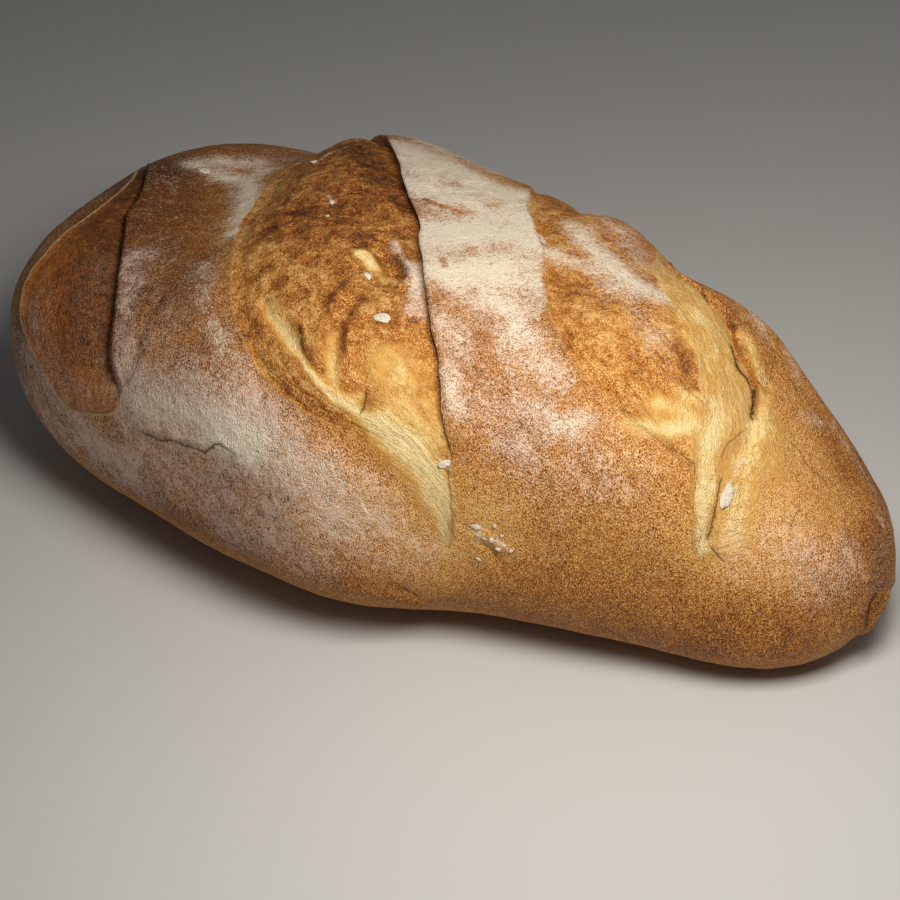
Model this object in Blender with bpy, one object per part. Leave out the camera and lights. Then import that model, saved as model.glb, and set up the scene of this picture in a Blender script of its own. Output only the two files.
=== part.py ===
"""Scored bread loaf, one closed body in metres, +Z up, resting on its flat base at z = 0.

The skin is a grid. Girth lines run round the loaf and follow the edges of the cuts, so that each
lip is a crisp line, and rows run from the left tip to the right tip. A point has an angle round the
loaf, 0 at the crown, 90 at the near side and -90 at the far side, and a place along it.
"""

from math import pi

import bmesh
import bpy
import numpy as np

# Reach of the two tips from the middle, and half widths and crown heights at seven stations between
LEFT_REACH = 0.152
RIGHT_REACH = 0.152
STATIONS = (-0.9, -0.6, -0.3, 0.0, 0.3, 0.6, 0.9)
NEAR_HALF = (0.066, 0.0636, 0.0712, 0.0773, 0.0626, 0.0601, 0.0666)
FAR_HALF = (0.122, 0.108, 0.098, 0.0786, 0.0613, 0.0495, 0.0576)
CROWN = (0.1102, 0.0937, 0.1045, 0.107, 0.108, 0.1086, 0.0819)

# Left and right tip: height over the floor, bluntness in plan, bluntness of the underside
TIP_HEIGHT = (0.0411, 0.0292)
TIP_BLUNTNESS = (3.5, 2.3)
KEEL_BLUNTNESS = (3.6, 11.5)

# Cross-section: height share of the widest line, and squareness above and below it
WAIST = 0.467
TOP_SQUARENESS = 2.7
LOW_SQUARENESS = 2.7
BASE_CUT = 0.0015

# Middle of the loaf's box, which becomes the origin
MIDDLE = (0.0004, 0.0117)

# Edges of the cuts, each as (angle in degrees, place along the loaf). Between two cuts they carry on
# round the underside only to lead the grid.
FIRST_RIM = (
    (-180, -0.104), (-100, -0.132), (-30, -0.1345), (-20, -0.131), (-7, -0.1235), (17, -0.125),
    (53, -0.1265), (75, -0.119), (80, -0.109), (82.5, -0.094), (84, -0.081), (89, -0.071),
    (110, -0.070), (145, -0.088),
)
FIRST_LIP = (
    (-180, -0.090), (-100, -0.124), (-30, -0.1325), (-20, -0.1285), (1, -0.108), (29, -0.089),
    (55, -0.079), (74, -0.075), (82, -0.067), (95, -0.064), (120, -0.066),
)
SECOND_RIM = (
    (-180, -0.045), (-100, -0.082), (-58, -0.086), (-29, -0.079), (-8, -0.072), (8, -0.058),
    (18, -0.050), (39, -0.033), (50, -0.019), (57, -0.003), (63, 0.013), (70, 0.022),
    (81, 0.033), (91, 0.039), (125, 0.018),
)
SECOND_LIP = (
    (-180, -0.010), (-100, -0.068), (-58, -0.078), (-41, -0.058), (-19, -0.031), (-7, -0.015),
    (2, 0.003), (16, 0.017), (29, 0.026), (43, 0.033), (53, 0.036), (75, 0.041), (91, 0.0425),
    (125, 0.037),
)
THIRD_RIM = (
    (-180, 0.035), (-100, 0.0), (-62, 0.0), (-37, 0.009), (-10, 0.028), (2, 0.042), (17, 0.056),
    (25, 0.063), (35, 0.075), (39.5, 0.084), (42, 0.094), (44, 0.1005), (46, 0.1020),
    (52, 0.1032), (62, 0.1044), (75, 0.106), (125, 0.088),
)
TEAR_EDGE = (
    (-180, 0.075), (-100, 0.042), (-62, 0.040), (-39, 0.058), (-5, 0.078), (1, 0.088),
    (10, 0.096), (31, 0.101), (46, 0.104), (63, 0.108), (76, 0.1115), (95, 0.114), (125, 0.103),
)
CAP_LIP = (
    (-180, 0.105), (-100, 0.068), (-62, 0.052), (-42, 0.066), (-23, 0.077), (-21, 0.085),
    (-14, 0.095), (-6, 0.100), (-1, 0.107), (7, 0.112), (30, 0.112), (43, 0.113), (58, 0.1136),
    (67, 0.1142), (72, 0.1163), (77, 0.1195), (98, 0.126), (125, 0.120),
)
EDGES = (FIRST_RIM, FIRST_LIP, SECOND_RIM, SECOND_LIP, THIRD_RIM, TEAR_EDGE, CAP_LIP)
LEAST_GAP = 0.0022

# Girth lines in each stretch between the edges. Three lips have a wall, the drop under the ear.
COLUMNS = {
    "left end": 9,
    "first face": 8,
    "first wall": 2,
    "left skin": 9,
    "second face": 13,
    "second wall": 2,
    "middle skin": 8,
    "third face": 8,
    "tear": 4,
    "cap wall": 2,
    "right end": 12,
}
STRETCHES = list(COLUMNS)
WALLED_LIPS = (1, 3, 6)
WALL = 0.0009
ROWS = 58
UNDERSIDE_SHARE = 0.5

# Each cut: the numbers of its two edges, its stretches, the angles where it ends, and its heights.
# ear: the lip over the skin, over: how far it leans out, tuck: how deep the face passes under it,
# swell: the face's bulge, groove: the dip inside the rim, ridge: the raised rim.
CUTS = (
    {"rim": 0, "lip": 1, "face": "first face", "wall": "first wall", "far": -24, "near": 85,
     "ear": 0.0026, "over": 0.0014, "tuck": 0.0020, "swell": 0.0008, "groove": 0.0010, "ridge": 0.0007},
    {"rim": 2, "lip": 3, "face": "second face", "wall": "second wall", "far": -58, "near": 90,
     "ear": 0.0032, "over": 0.0018, "tuck": 0.0026, "swell": 0.0026, "groove": 0.0012, "ridge": 0.0004},
    {"rim": 4, "lip": 5, "face": "third face", "wall": None, "far": -62, "near": 46,
     "ear": 0.0, "over": 0.0, "tuck": 0.0003, "swell": 0.0012, "groove": 0.0008, "ridge": 0.0004},
    {"rim": 5, "lip": 6, "face": "tear", "wall": "cap wall", "far": -60, "near": 77,
     "ear": 0.0014, "over": 0.0008, "tuck": 0.0024, "swell": 0.0, "groove": 0.0008, "ridge": 0.0},
)
FAR_FADE = 16
NEAR_FADE = 24
EAR_REACH = 0.022
LEDGE = 0.0014

# Humps and hollows: place along, angle, reach along, reach in degrees, height
HUMPS = {
    "bulge behind the third face": (0.047, -41, 0.016, 14, 0.0034),
    "nick beside the bulge": (0.029, -44, 0.005, 12, -0.0018),
    "trough of the tear": (0.070, -44, 0.008, 14, -0.0030),
    "knob of the cap": (0.097, -42, 0.013, 16, 0.0032),
    "notch under the tear": (0.117, 38, 0.008, 20, -0.0052),
    "shoulder before the notch": (0.095, 48, 0.012, 14, 0.0016),
    "swell of the cap": (0.137, 38, 0.013, 24, 0.0020),
    "dip before the second rim": (-0.088, -44, 0.014, 16, -0.0016),
    "shoulder of the left skin": (-0.034, 57, 0.020, 16, 0.0018),
    "hollow at the second face's foot": (0.014, 53, 0.010, 10, -0.0018),
    "torn pit in the second face": (-0.002, 9, 0.006, 7, -0.0024),
    "gouge in the second face": (-0.018, 37, 0.008, 7, -0.0016),
    "crease under the right tip": (0.1462, 118, 0.0016, 34, -0.0012),
    "lobe under the right tip": (0.1500, 124, 0.0040, 36, 0.0022),
}
SWELL_HEIGHT = 0.0005
TIP_HOLD = 0.07

CRUST_COLOUR = (0.42, 0.19, 0.06, 1.0)
CRUST_ROUGHNESS = 0.75


def curve(points, at, period=0.0):
    """Height at each place of a smooth line through the points, with slopes from their neighbours."""
    line = np.array(points, float)
    if period:
        turn = np.array((period, 0.0))
        line = np.vstack((line[-3:] - turn, line, line[:3] + turn))
    x, y = line.T
    slope = np.gradient(y, x)
    i = np.clip(np.searchsorted(x, at) - 1, 0, len(x) - 2)
    span = x[i + 1] - x[i]
    t = np.clip((at - x[i]) / span, 0, 1)
    start = y[i] * (1 + 2 * t) * (1 - t) ** 2 + slope[i] * span * t * (1 - t) ** 2
    end = y[i + 1] * t * t * (3 - 2 * t) + slope[i + 1] * span * t * t * (t - 1)
    return start + end


def ramp(start, end, at):
    """0 before start, 1 past end, smooth between."""
    t = np.clip((at - start) / (end - start), 0, 1)
    return t * t * (3 - 2 * t)


def body(turn, angle):
    """Smooth body without cuts. turn runs from 0 at the left tip to pi at the right tip."""
    t = -np.cos(turn)
    left = t < 0
    tip = np.where(left, *TIP_HEIGHT)
    cap = np.sqrt(np.clip(1 - np.abs(t) ** np.where(left, *TIP_BLUNTNESS), 0, None))
    low = tip * (1 - np.sqrt(np.clip(1 - np.abs(t) ** np.where(left, *KEEL_BLUNTNESS), 0, None)))
    at = np.clip(t, -0.98, 0.98)
    near, far, crown = (curve(tuple(zip(STATIONS, sizes)), at) for sizes in (NEAR_HALF, FAR_HALF, CROWN))
    high = tip + (crown - tip) * cap
    c, s = np.cos(angle), np.sin(angle)
    power = np.where(c >= 0, 2 / TOP_SQUARENESS, 2 / LOW_SQUARENESS)
    rise = np.abs(c) ** power
    share = np.where(c >= 0, WAIST + (1 - WAIST) * rise, WAIST * (1 - rise))
    x = t * np.where(left, LEFT_REACH, RIGHT_REACH)
    y = np.where(s >= 0, -near, far) * cap * np.abs(s) ** power
    return np.stack(np.broadcast_arrays(x, y, low + (high - low) * share), -1)


def turn_of(x):
    """Turn at which the body reaches the place x along the loaf."""
    return np.arccos(np.clip(-x / np.where(x < 0, LEFT_REACH, RIGHT_REACH), -1, 1))


def row_angles(rows):
    """Angle of each row, evenly spaced round the middle of the loaf, sparser underneath."""
    fine = np.linspace(-pi, pi, 2881)
    round_middle = body(np.full_like(fine, pi / 2), fine)
    length = np.linalg.norm(np.diff(round_middle, axis=0), axis=1)
    degrees = np.degrees(fine[1:])
    shown = ramp(-125, -75, degrees) * (1 - ramp(105, 140, degrees))
    girth = np.r_[0, np.cumsum(length * (UNDERSIDE_SHARE + (1 - UNDERSIDE_SHARE) * shown))]
    return np.interp(np.arange(rows) / rows * girth[-1], girth, fine)


def edge_lines(degrees):
    """Place of each edge at each angle, kept in order along the loaf."""
    lines = [curve(edge, degrees, 360) for edge in EDGES]
    for k in range(1, len(lines)):
        lines[k] = np.maximum(lines[k], lines[k - 1] + LEAST_GAP)
    return lines


def lay_columns(lines, angle):
    """Turn of every grid point, with each girth line's stretch number and its share of the stretch."""
    bounds = [np.zeros_like(angle)]
    for k, line in enumerate(lines):
        bounds.append(turn_of(line))
        if k in WALLED_LIPS:
            bounds.append(turn_of(line + WALL))
    bounds.append(np.full_like(angle, pi))
    turns, stretch, share = [], [], []
    for k, count in enumerate(COLUMNS.values()):
        for n in range(count):
            turns.append(bounds[k] + (bounds[k + 1] - bounds[k]) * n / count)
            stretch.append(k)
            share.append(n / count)
    turns.append(bounds[-1])
    stretch.append(len(COLUMNS) - 1)
    share.append(1.0)
    return np.array(turns), np.array(stretch)[:, None], np.array(share)[:, None]


def directions(turn, angle):
    """Unit vectors out of the body and along it."""
    step = 0.004
    inner = np.clip(turn, 0.02, pi - 0.02)
    along = body(inner + step, angle) - body(inner - step, angle)
    across = body(inner, angle + step) - body(inner, angle - step)
    out = np.cross(across, along)
    out /= np.linalg.norm(out, axis=-1, keepdims=True)
    along /= np.linalg.norm(along, axis=-1, keepdims=True)
    return out, along


def cut_relief(cut, x, degrees, stretch, share, lines):
    """Height out of the body and shift along it that one cut makes."""
    rim, lip = lines[cut["rim"]], lines[cut["lip"]]
    width = lip - rim
    fade = ramp(cut["far"], cut["far"] + FAR_FADE, degrees)
    fade = fade * (1 - ramp(cut["near"] - NEAR_FADE, cut["near"], degrees))
    room = ramp(0.003, 0.012, width)
    face = stretch == STRETCHES.index(cut["face"])
    profile = cut["swell"] * np.sin(pi * share) ** 1.2 * room
    profile = profile - cut["groove"] * np.exp(-(((share * width - 0.0035) / 0.003) ** 2)) * room
    profile = profile - cut["tuck"] * ramp(0.55, 1.0, share) ** 1.5
    height = np.where(face, profile, 0) + cut["ridge"] * np.exp(-(((x - rim) / 0.0014) ** 2))
    shift = np.zeros_like(height)
    if cut["wall"]:
        wall = stretch == STRETCHES.index(cut["wall"])
        skin = stretch > STRETCHES.index(cut["wall"])
        beyond = np.clip(x - lip - WALL, 0, None)
        rise = cut["ear"] + cut["tuck"]
        height += np.where(wall, rise * ramp(0, 1, share) - cut["tuck"], 0)
        height += np.where(skin, cut["ear"] * np.exp(-beyond / EAR_REACH), 0)
        under = np.where(face, ramp(0.9, 1.0, share), 0)
        turning = np.where(wall, 1 - ramp(0.1, 0.6, share) - ramp(0.3, 0.9, share), 0)
        leaning = np.where(skin, np.exp(-beyond / 0.0025), 0)
        shift = cut["over"] * (under + turning - leaning)
    return height * fade, shift * fade


def relief(x, degrees, stretch, share, lines):
    """Height and shift of all the cuts, the ledge over the tear, the humps and the slow swell."""
    height = np.zeros(x.shape)
    shift = np.zeros(x.shape)
    for cut in CUTS:
        more, push = cut_relief(cut, x, degrees, stretch, share, lines)
        height += more
        shift += push
    low = ramp(25, 40, degrees) * (1 - ramp(62, 78, degrees))
    before = (stretch > STRETCHES.index("second wall")) & (stretch < STRETCHES.index("tear"))
    height += np.where(before, LEDGE * np.exp(-np.clip(lines[5] - x, 0, None) / 0.009) * low, 0)
    height -= np.where(stretch == STRETCHES.index("tear"), LEDGE * low, 0)
    for place, angle, reach, spread, hump in HUMPS.values():
        height += hump * np.exp(-(((x - place) / reach) ** 2) - ((degrees - angle) / spread) ** 2)
    turns = np.radians(degrees)
    swell = np.sin(x / 0.0125 + 2 * np.sin(turns)) * np.sin(3 * turns + x / 0.03)
    return height + SWELL_HEIGHT * swell, shift


def loaf_points():
    """Every grid point, girth line by girth line, with the underside cut flat."""
    angle = row_angles(ROWS)
    degrees = np.degrees(angle)
    lines = edge_lines(degrees)
    turn, stretch, share = lay_columns(lines, angle)
    base = body(turn, angle)
    out, along = directions(turn, angle)
    height, shift = relief(base[..., 0], degrees, stretch, share, lines)
    hold = ramp(0, TIP_HOLD, turn) * ramp(0, TIP_HOLD, pi - turn)
    points = base + out * (height * hold)[..., None] + along * (shift * hold)[..., None]
    points -= (MIDDLE[0], MIDDLE[1], BASE_CUT)
    points[..., 2] = np.maximum(points[..., 2], 0)
    return points


def crust():
    """Baked crust, the material of the whole piece."""
    material = bpy.data.materials.new("crust")
    material.use_nodes = True
    shader = material.node_tree.nodes["Principled BSDF"]
    shader.inputs["Base Color"].default_value = CRUST_COLOUR
    shader.inputs["Roughness"].default_value = CRUST_ROUGHNESS
    shader.inputs["Metallic"].default_value = 0.0
    material.diffuse_color = CRUST_COLOUR
    return material


def loaf():
    """One closed skin: a girth line of faces between each two rings, and a fan at each tip."""
    points = loaf_points()
    shape = bmesh.new()
    left_tip = shape.verts.new(points[0, 0])
    right_tip = shape.verts.new(points[-1, 0])
    rings = [[shape.verts.new(point) for point in ring] for ring in points[1:-1]]
    for row in range(ROWS):
        after = (row + 1) % ROWS
        shape.faces.new((left_tip, rings[0][after], rings[0][row]))
        shape.faces.new((right_tip, rings[-1][row], rings[-1][after]))
        for ring, following in zip(rings, rings[1:]):
            shape.faces.new((ring[row], ring[after], following[after], following[row]))
    bmesh.ops.triangulate(shape, faces=shape.faces)
    bmesh.ops.recalc_face_normals(shape, faces=shape.faces)
    mesh = bpy.data.meshes.new("loaf")
    shape.to_mesh(mesh)
    shape.free()
    mesh.shade_smooth()
    mesh.materials.append(crust())
    bpy.context.collection.objects.link(bpy.data.objects.new("loaf", mesh))


def main():
    for old in list(bpy.data.objects):
        bpy.data.objects.remove(old)
    loaf()


main()
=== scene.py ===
"""Scored bread loaf with its fine crust, on a pale floor.

The skin repeats the solid's shape on a finer grid. Girth lines run round the loaf and follow the
edges of the cuts, and rows run from the left tip to the right tip. A point has an angle round the
loaf, 0 at the crown, 90 at the near side and -90 at the far side, and a place along it. Tables give
angles in degrees and lengths in millimetres, and all else is in metres.
"""

from math import cos, pi, radians, sin

import bpy
import numpy as np
from bpy.props import FloatProperty, FloatVectorProperty, IntProperty, PointerProperty
from mathutils import Matrix, Vector


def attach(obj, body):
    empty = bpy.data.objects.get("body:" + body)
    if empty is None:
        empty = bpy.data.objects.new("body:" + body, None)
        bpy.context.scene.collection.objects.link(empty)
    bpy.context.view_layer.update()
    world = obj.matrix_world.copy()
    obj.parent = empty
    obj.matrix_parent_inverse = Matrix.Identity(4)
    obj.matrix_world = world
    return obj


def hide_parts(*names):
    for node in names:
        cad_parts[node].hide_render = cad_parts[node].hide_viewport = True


bl_info = {
    "name": "Bread Loaf",
    "version": (1, 0, 0),
    "blender": (4, 5, 0),
    "location": "3D View > Sidebar > Bread Loaf",
    "description": "Builds a scored, flour-dusted bread loaf on a pale floor",
    "category": "Object",
}

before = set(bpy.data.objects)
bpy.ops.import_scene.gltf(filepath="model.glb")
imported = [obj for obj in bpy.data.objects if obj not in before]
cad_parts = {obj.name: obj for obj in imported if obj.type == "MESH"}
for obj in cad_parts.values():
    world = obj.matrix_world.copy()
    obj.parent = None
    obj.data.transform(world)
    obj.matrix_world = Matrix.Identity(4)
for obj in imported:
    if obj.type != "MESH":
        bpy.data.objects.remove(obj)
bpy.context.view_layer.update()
MM = 0.001

# Reach of the two tips from the middle, and half widths and crown heights at seven stations between,
# which carry on as far as the last share of the reach
REACH = 0.152
STATIONS = (-0.9, -0.6, -0.3, 0.0, 0.3, 0.6, 0.9)
LAST_STATION = 0.98
NEAR_HALF = (0.066, 0.0636, 0.0712, 0.0773, 0.0626, 0.0601, 0.0666)
FAR_HALF = (0.122, 0.108, 0.098, 0.0786, 0.0613, 0.0495, 0.0576)
CROWN = (0.1102, 0.0937, 0.1045, 0.107, 0.108, 0.1086, 0.0819)

# Left and right tip: height over the floor, bluntness in plan, bluntness of the underside
TIP_HEIGHT = (0.0411, 0.0292)
TIP_BLUNTNESS = (3.5, 2.3)
KEEL_BLUNTNESS = (3.6, 11.5)

# Cross-section: height share of the widest line, and squareness
WAIST = 0.467
SQUARENESS = 2.7

# Middle of the loaf's box, which is the origin, and how much the flat base takes off below
MIDDLE = (0.0004, 0.0117)
BASE_CUT = 0.0015
ORIGIN = (*MIDDLE, BASE_CUT)

# Edges of the cuts, each as (angle, place). Between two cuts they carry on round the underside only
# to lead the grid.
FIRST_RIM = (
    (-180, -104), (-100, -132), (-30, -134.5), (-20, -131), (-7, -123.5), (17, -125), (53, -126.5),
    (70, -121.5), (78, -114), (82, -109), (85, -103.5), (88, -100), (110, -92), (145, -96),
)
FIRST_LIP = (
    (-180, -90), (-100, -124), (-30, -132.5), (-20, -128.5), (1, -108), (29, -89), (55, -79), (70, -75.5),
    (75, -75), (79, -77.5), (82, -85), (85, -93.5), (88, -97.5), (110, -88), (145, -92),
)
SECOND_RIM = (
    (-180, -45), (-100, -82), (-58, -86), (-29, -79), (-8, -72), (8, -58), (18, -50), (39, -33), (50, -19),
    (57, -3), (63, 13), (70, 22), (81, 33), (91, 40.2), (125, 18),
)
SECOND_LIP = (
    (-180, -10), (-100, -68), (-58, -78), (-41, -58), (-19, -31), (-7, -15), (2, 3), (16, 17), (29, 26),
    (43, 33), (53, 36), (75, 41), (91, 42.5), (125, 37),
)
THIRD_RIM = (
    (-180, 35), (-100, 0), (-62, 0), (-37, 9), (-10, 28), (2, 42), (17, 56), (25, 63), (35, 75), (39.5, 84),
    (42, 94), (44, 100.5), (46, 102), (52, 103.2), (62, 104.4), (75, 106), (125, 88),
)
TEAR_EDGE = (
    (-180, 75), (-100, 42), (-62, 40), (-39, 58), (-5, 78), (1, 88), (10, 96), (31, 101), (46, 104),
    (63, 108), (76, 111.5), (95, 114), (125, 103),
)
CAP_LIP = (
    (-180, 105), (-100, 68), (-62, 52), (-42, 66), (-23, 77), (-21, 85), (-14, 95), (-6, 100), (-1, 107),
    (7, 112), (30, 112), (43, 113), (58, 113.6), (67, 114.2), (72, 116.3), (77, 119.5), (98, 126),
    (125, 120),
)
EDGES = (FIRST_RIM, FIRST_LIP, SECOND_RIM, SECOND_LIP, THIRD_RIM, TEAR_EDGE, CAP_LIP)
TEAR_LINE = EDGES.index(TEAR_EDGE)
LEAST_GAP = 0.0022

# How far each edge wavers, the two sizes of the waver in degrees and the angles where it sets in and ends
EDGE_WAVER = (0.0004, 0.0004, 0.0005, 0.0003, 0.0005, 0.0009, 0.0006)
WAVER_SIZES = (7.0, 2.2)
WAVER_IN = (-80, -50)
WAVER_OUT = (95, 110)

# Girth lines in each stretch between the edges. Three lips have a wall, the drop under the ear.
COLUMNS = {
    "left end": 30,
    "first face": 34,
    "first wall": 4,
    "left skin": 42,
    "second face": 70,
    "second wall": 5,
    "middle skin": 40,
    "third face": 42,
    "tear": 22,
    "cap wall": 4,
    "right end": 46,
}
STRETCHES = list(COLUMNS)
WALLED_LIPS = (1, 3, 6)
WALL = 0.0009

# Rows: how dense they are underneath and behind, against the sides that show, the angles between which
# that changes, and the steps that the girth is measured in
UNDERSIDE_SHARE = 0.35
BACK_SHARE = 0.62
UNDERSIDE_TO_BACK = (-130, -105)
BACK_TO_CROWN = (-75, -50)
NEAR_TO_UNDERSIDE = (112, 135)
GIRTH_STEPS = 5761

# Step of turn and angle that the body's slopes are taken over, and the turn from a tip where they hold
SLOPE_STEP = 0.004
SLOPE_HOLD = 0.02

# Each cut: the numbers of its two edges, its stretches, the angles where it ends, where its lip has
# closed and where its face goes flat, and its heights.
# ear: the lip over the skin, over: how far it leans out, tuck: how deep the face passes under it,
# swell: the face's bulge, groove: the dip inside the rim, ridge: the raised rim.
CUTS = (
    {
        "rim": 0, "lip": 1, "face": "first face", "wall": "first wall",
        "far": -24, "near": 87, "shut": 80, "flat": 60,
        "ear": 2.6, "over": 1.4, "tuck": 2, "swell": 1, "groove": 0.2, "ridge": 0.7,
    },
    {
        "rim": 2, "lip": 3, "face": "second face", "wall": "second wall",
        "far": -58, "near": 90, "shut": 74, "flat": 45,
        "ear": 2.3, "over": 1.4, "tuck": 1.5, "swell": 2.6, "groove": 0.6, "ridge": 0.4,
    },
    {
        "rim": 4, "lip": 5, "face": "third face", "wall": None,
        "far": -62, "near": 46, "shut": 46, "flat": 180,
        "ear": 0, "over": 0, "tuck": 0.3, "swell": 1.2, "groove": 0.8, "ridge": 0.4,
    },
    {
        "rim": 5, "lip": 6, "face": "tear", "wall": "cap wall",
        "far": -60, "near": 44, "shut": 44, "flat": 180,
        "ear": 0.9, "over": 0.4, "tuck": 1.4, "swell": 0, "groove": 0.3, "ridge": 0,
    },
)
HEIGHTS = ("ear", "over", "tuck", "swell", "groove", "ridge")

# How many degrees the cuts' heights take to fade: at the far and the near end, and before the angles
# where the lip has closed and past those where the face goes flat
FAR_FADE = 16
NEAR_FADE = 32
SHUT_FADE = 26
FLAT_FADE = 20

# Widths of a narrow cut, which has less relief, where the groove lies inside the rim and how broad it
# is, how broad the rim's ridge is, and how far past the lip the ear and its lean die away
NARROW_CUT = (0.003, 0.012)
GROOVE_IN = 0.0035
GROOVE_HALF = 0.003
RIDGE_HALF = 0.0014
EAR_REACH = 0.022
LEAN_REACH = 0.0025

# How far off the faces count as past the two ends of a cut, over how many degrees before and after an
# end that grows, and the widths of a cut over which the flow across it quickens
END_REACH = 0.02
END_FADE = (3, 9)
FLOW_WIDTHS = (0.003, 0.022)

# Ledge over the low end of the tear: its height, how far it dies away and the angles of its two ends
LEDGE = 0.0005
LEDGE_REACH = 0.009
LEDGE_IN = (25, 40)
LEDGE_OUT = (62, 78)

# Humps and hollows: place, angle, reach along, reach in degrees, height
HUMPS = {
    "bulge behind the third face": (47, -41, 16, 14, 3.4),
    "nick beside the bulge": (29, -44, 5, 12, -1.8),
    "trough of the tear": (70, -44, 8, 14, -3),
    "knob of the cap": (97, -42, 13, 16, 3.2),
    "notch under the tear": (117, 38, 8, 20, -1.2),
    "shoulder before the notch": (95, 48, 12, 14, 1.6),
    "swell of the cap": (137, 38, 13, 24, 2),
    "dip before the second rim": (-88, -44, 14, 16, -1.6),
    "shoulder of the left skin": (-34, 57, 20, 16, 1.8),
    "hollow at the second face's foot": (14, 53, 10, 10, -1.8),
    "torn pit in the second face": (-2, 9, 6, 7, -2.4),
    "gouge in the second face": (-18, 37, 8, 7, -1.6),
    "crease under the right tip": (146.2, 118, 1.6, 34, -1.2),
    "lobe under the right tip": (150, 124, 4, 36, 2.2),
}

# Slow swell over the whole crust: its height and two lengths along the loaf
SWELL_HEIGHT = 0.0005
SWELL_LENGTH = 0.0125
SWELL_DRIFT = 0.03

# Turn from the tips and height over the floor within which the relief dies away
TIP_HOLD = 0.07
BASE_HOLD = 0.012

# Cut faces: where their strands run out from as (place, angle), the seed of the strands, how craggy
# and how stranded the relief is, and how fibrous the crumb looks
FACES = {
    "first face": ((-86, 84), 31, 0.2, 0.6, 0.6),
    "second face": ((14, 62), 33, 0.35, 1.0, 1.0),
    "third face": ((108, 66), 35, 0.7, 0.5, 0.6),
    "tear": ((108, 66), 37, 0.25, 0.8, 1.0),
}

# The second face is craggy and less stranded above these angles, and less stranded below the others
UPPER_FACE = (18, 48)
LOWER_FACE = (55, 70)

# Where the relief of the faces sets in: distances into a face, from a focus of strands and past the
# smooth band inside the rim. The tear is smooth on the right side of its low end and at its foot.
FACE_EDGE = (-0.0002, 0.0012)
FOCUS_CLEAR = (0.002, 0.012)
SMOOTH_BAND = (0.0025, 0.007)
TEAR_RIGHT = (0.5, 0.95)
TEAR_LOW = (30, 46)
TEAR_FOOT = (62, 76)

# Noise of the fine relief: sizes of its cells, heights, and the bearings and length of the strands
PIMPLE_CELLS = (0.0045, 0.0022)
SLOW_CELL = 0.02
SLOW_HEIGHT = 0.0004
WARP_CELL = 0.006
WARP = 0.0012
CRAG_CELL = 0.0045
CRAG_RIDGE_CELL = 0.0065
STRAND_WIDTHS = (0.10, 0.05)
STRAND_LENGTH = 0.011

# Distances into a face over which crust changes to crumb, and cells of the patchy flour
CRUST_EDGE = (-0.0001, 0.0002)
PATCH_CELLS = (0.009, 0.025)

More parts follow.
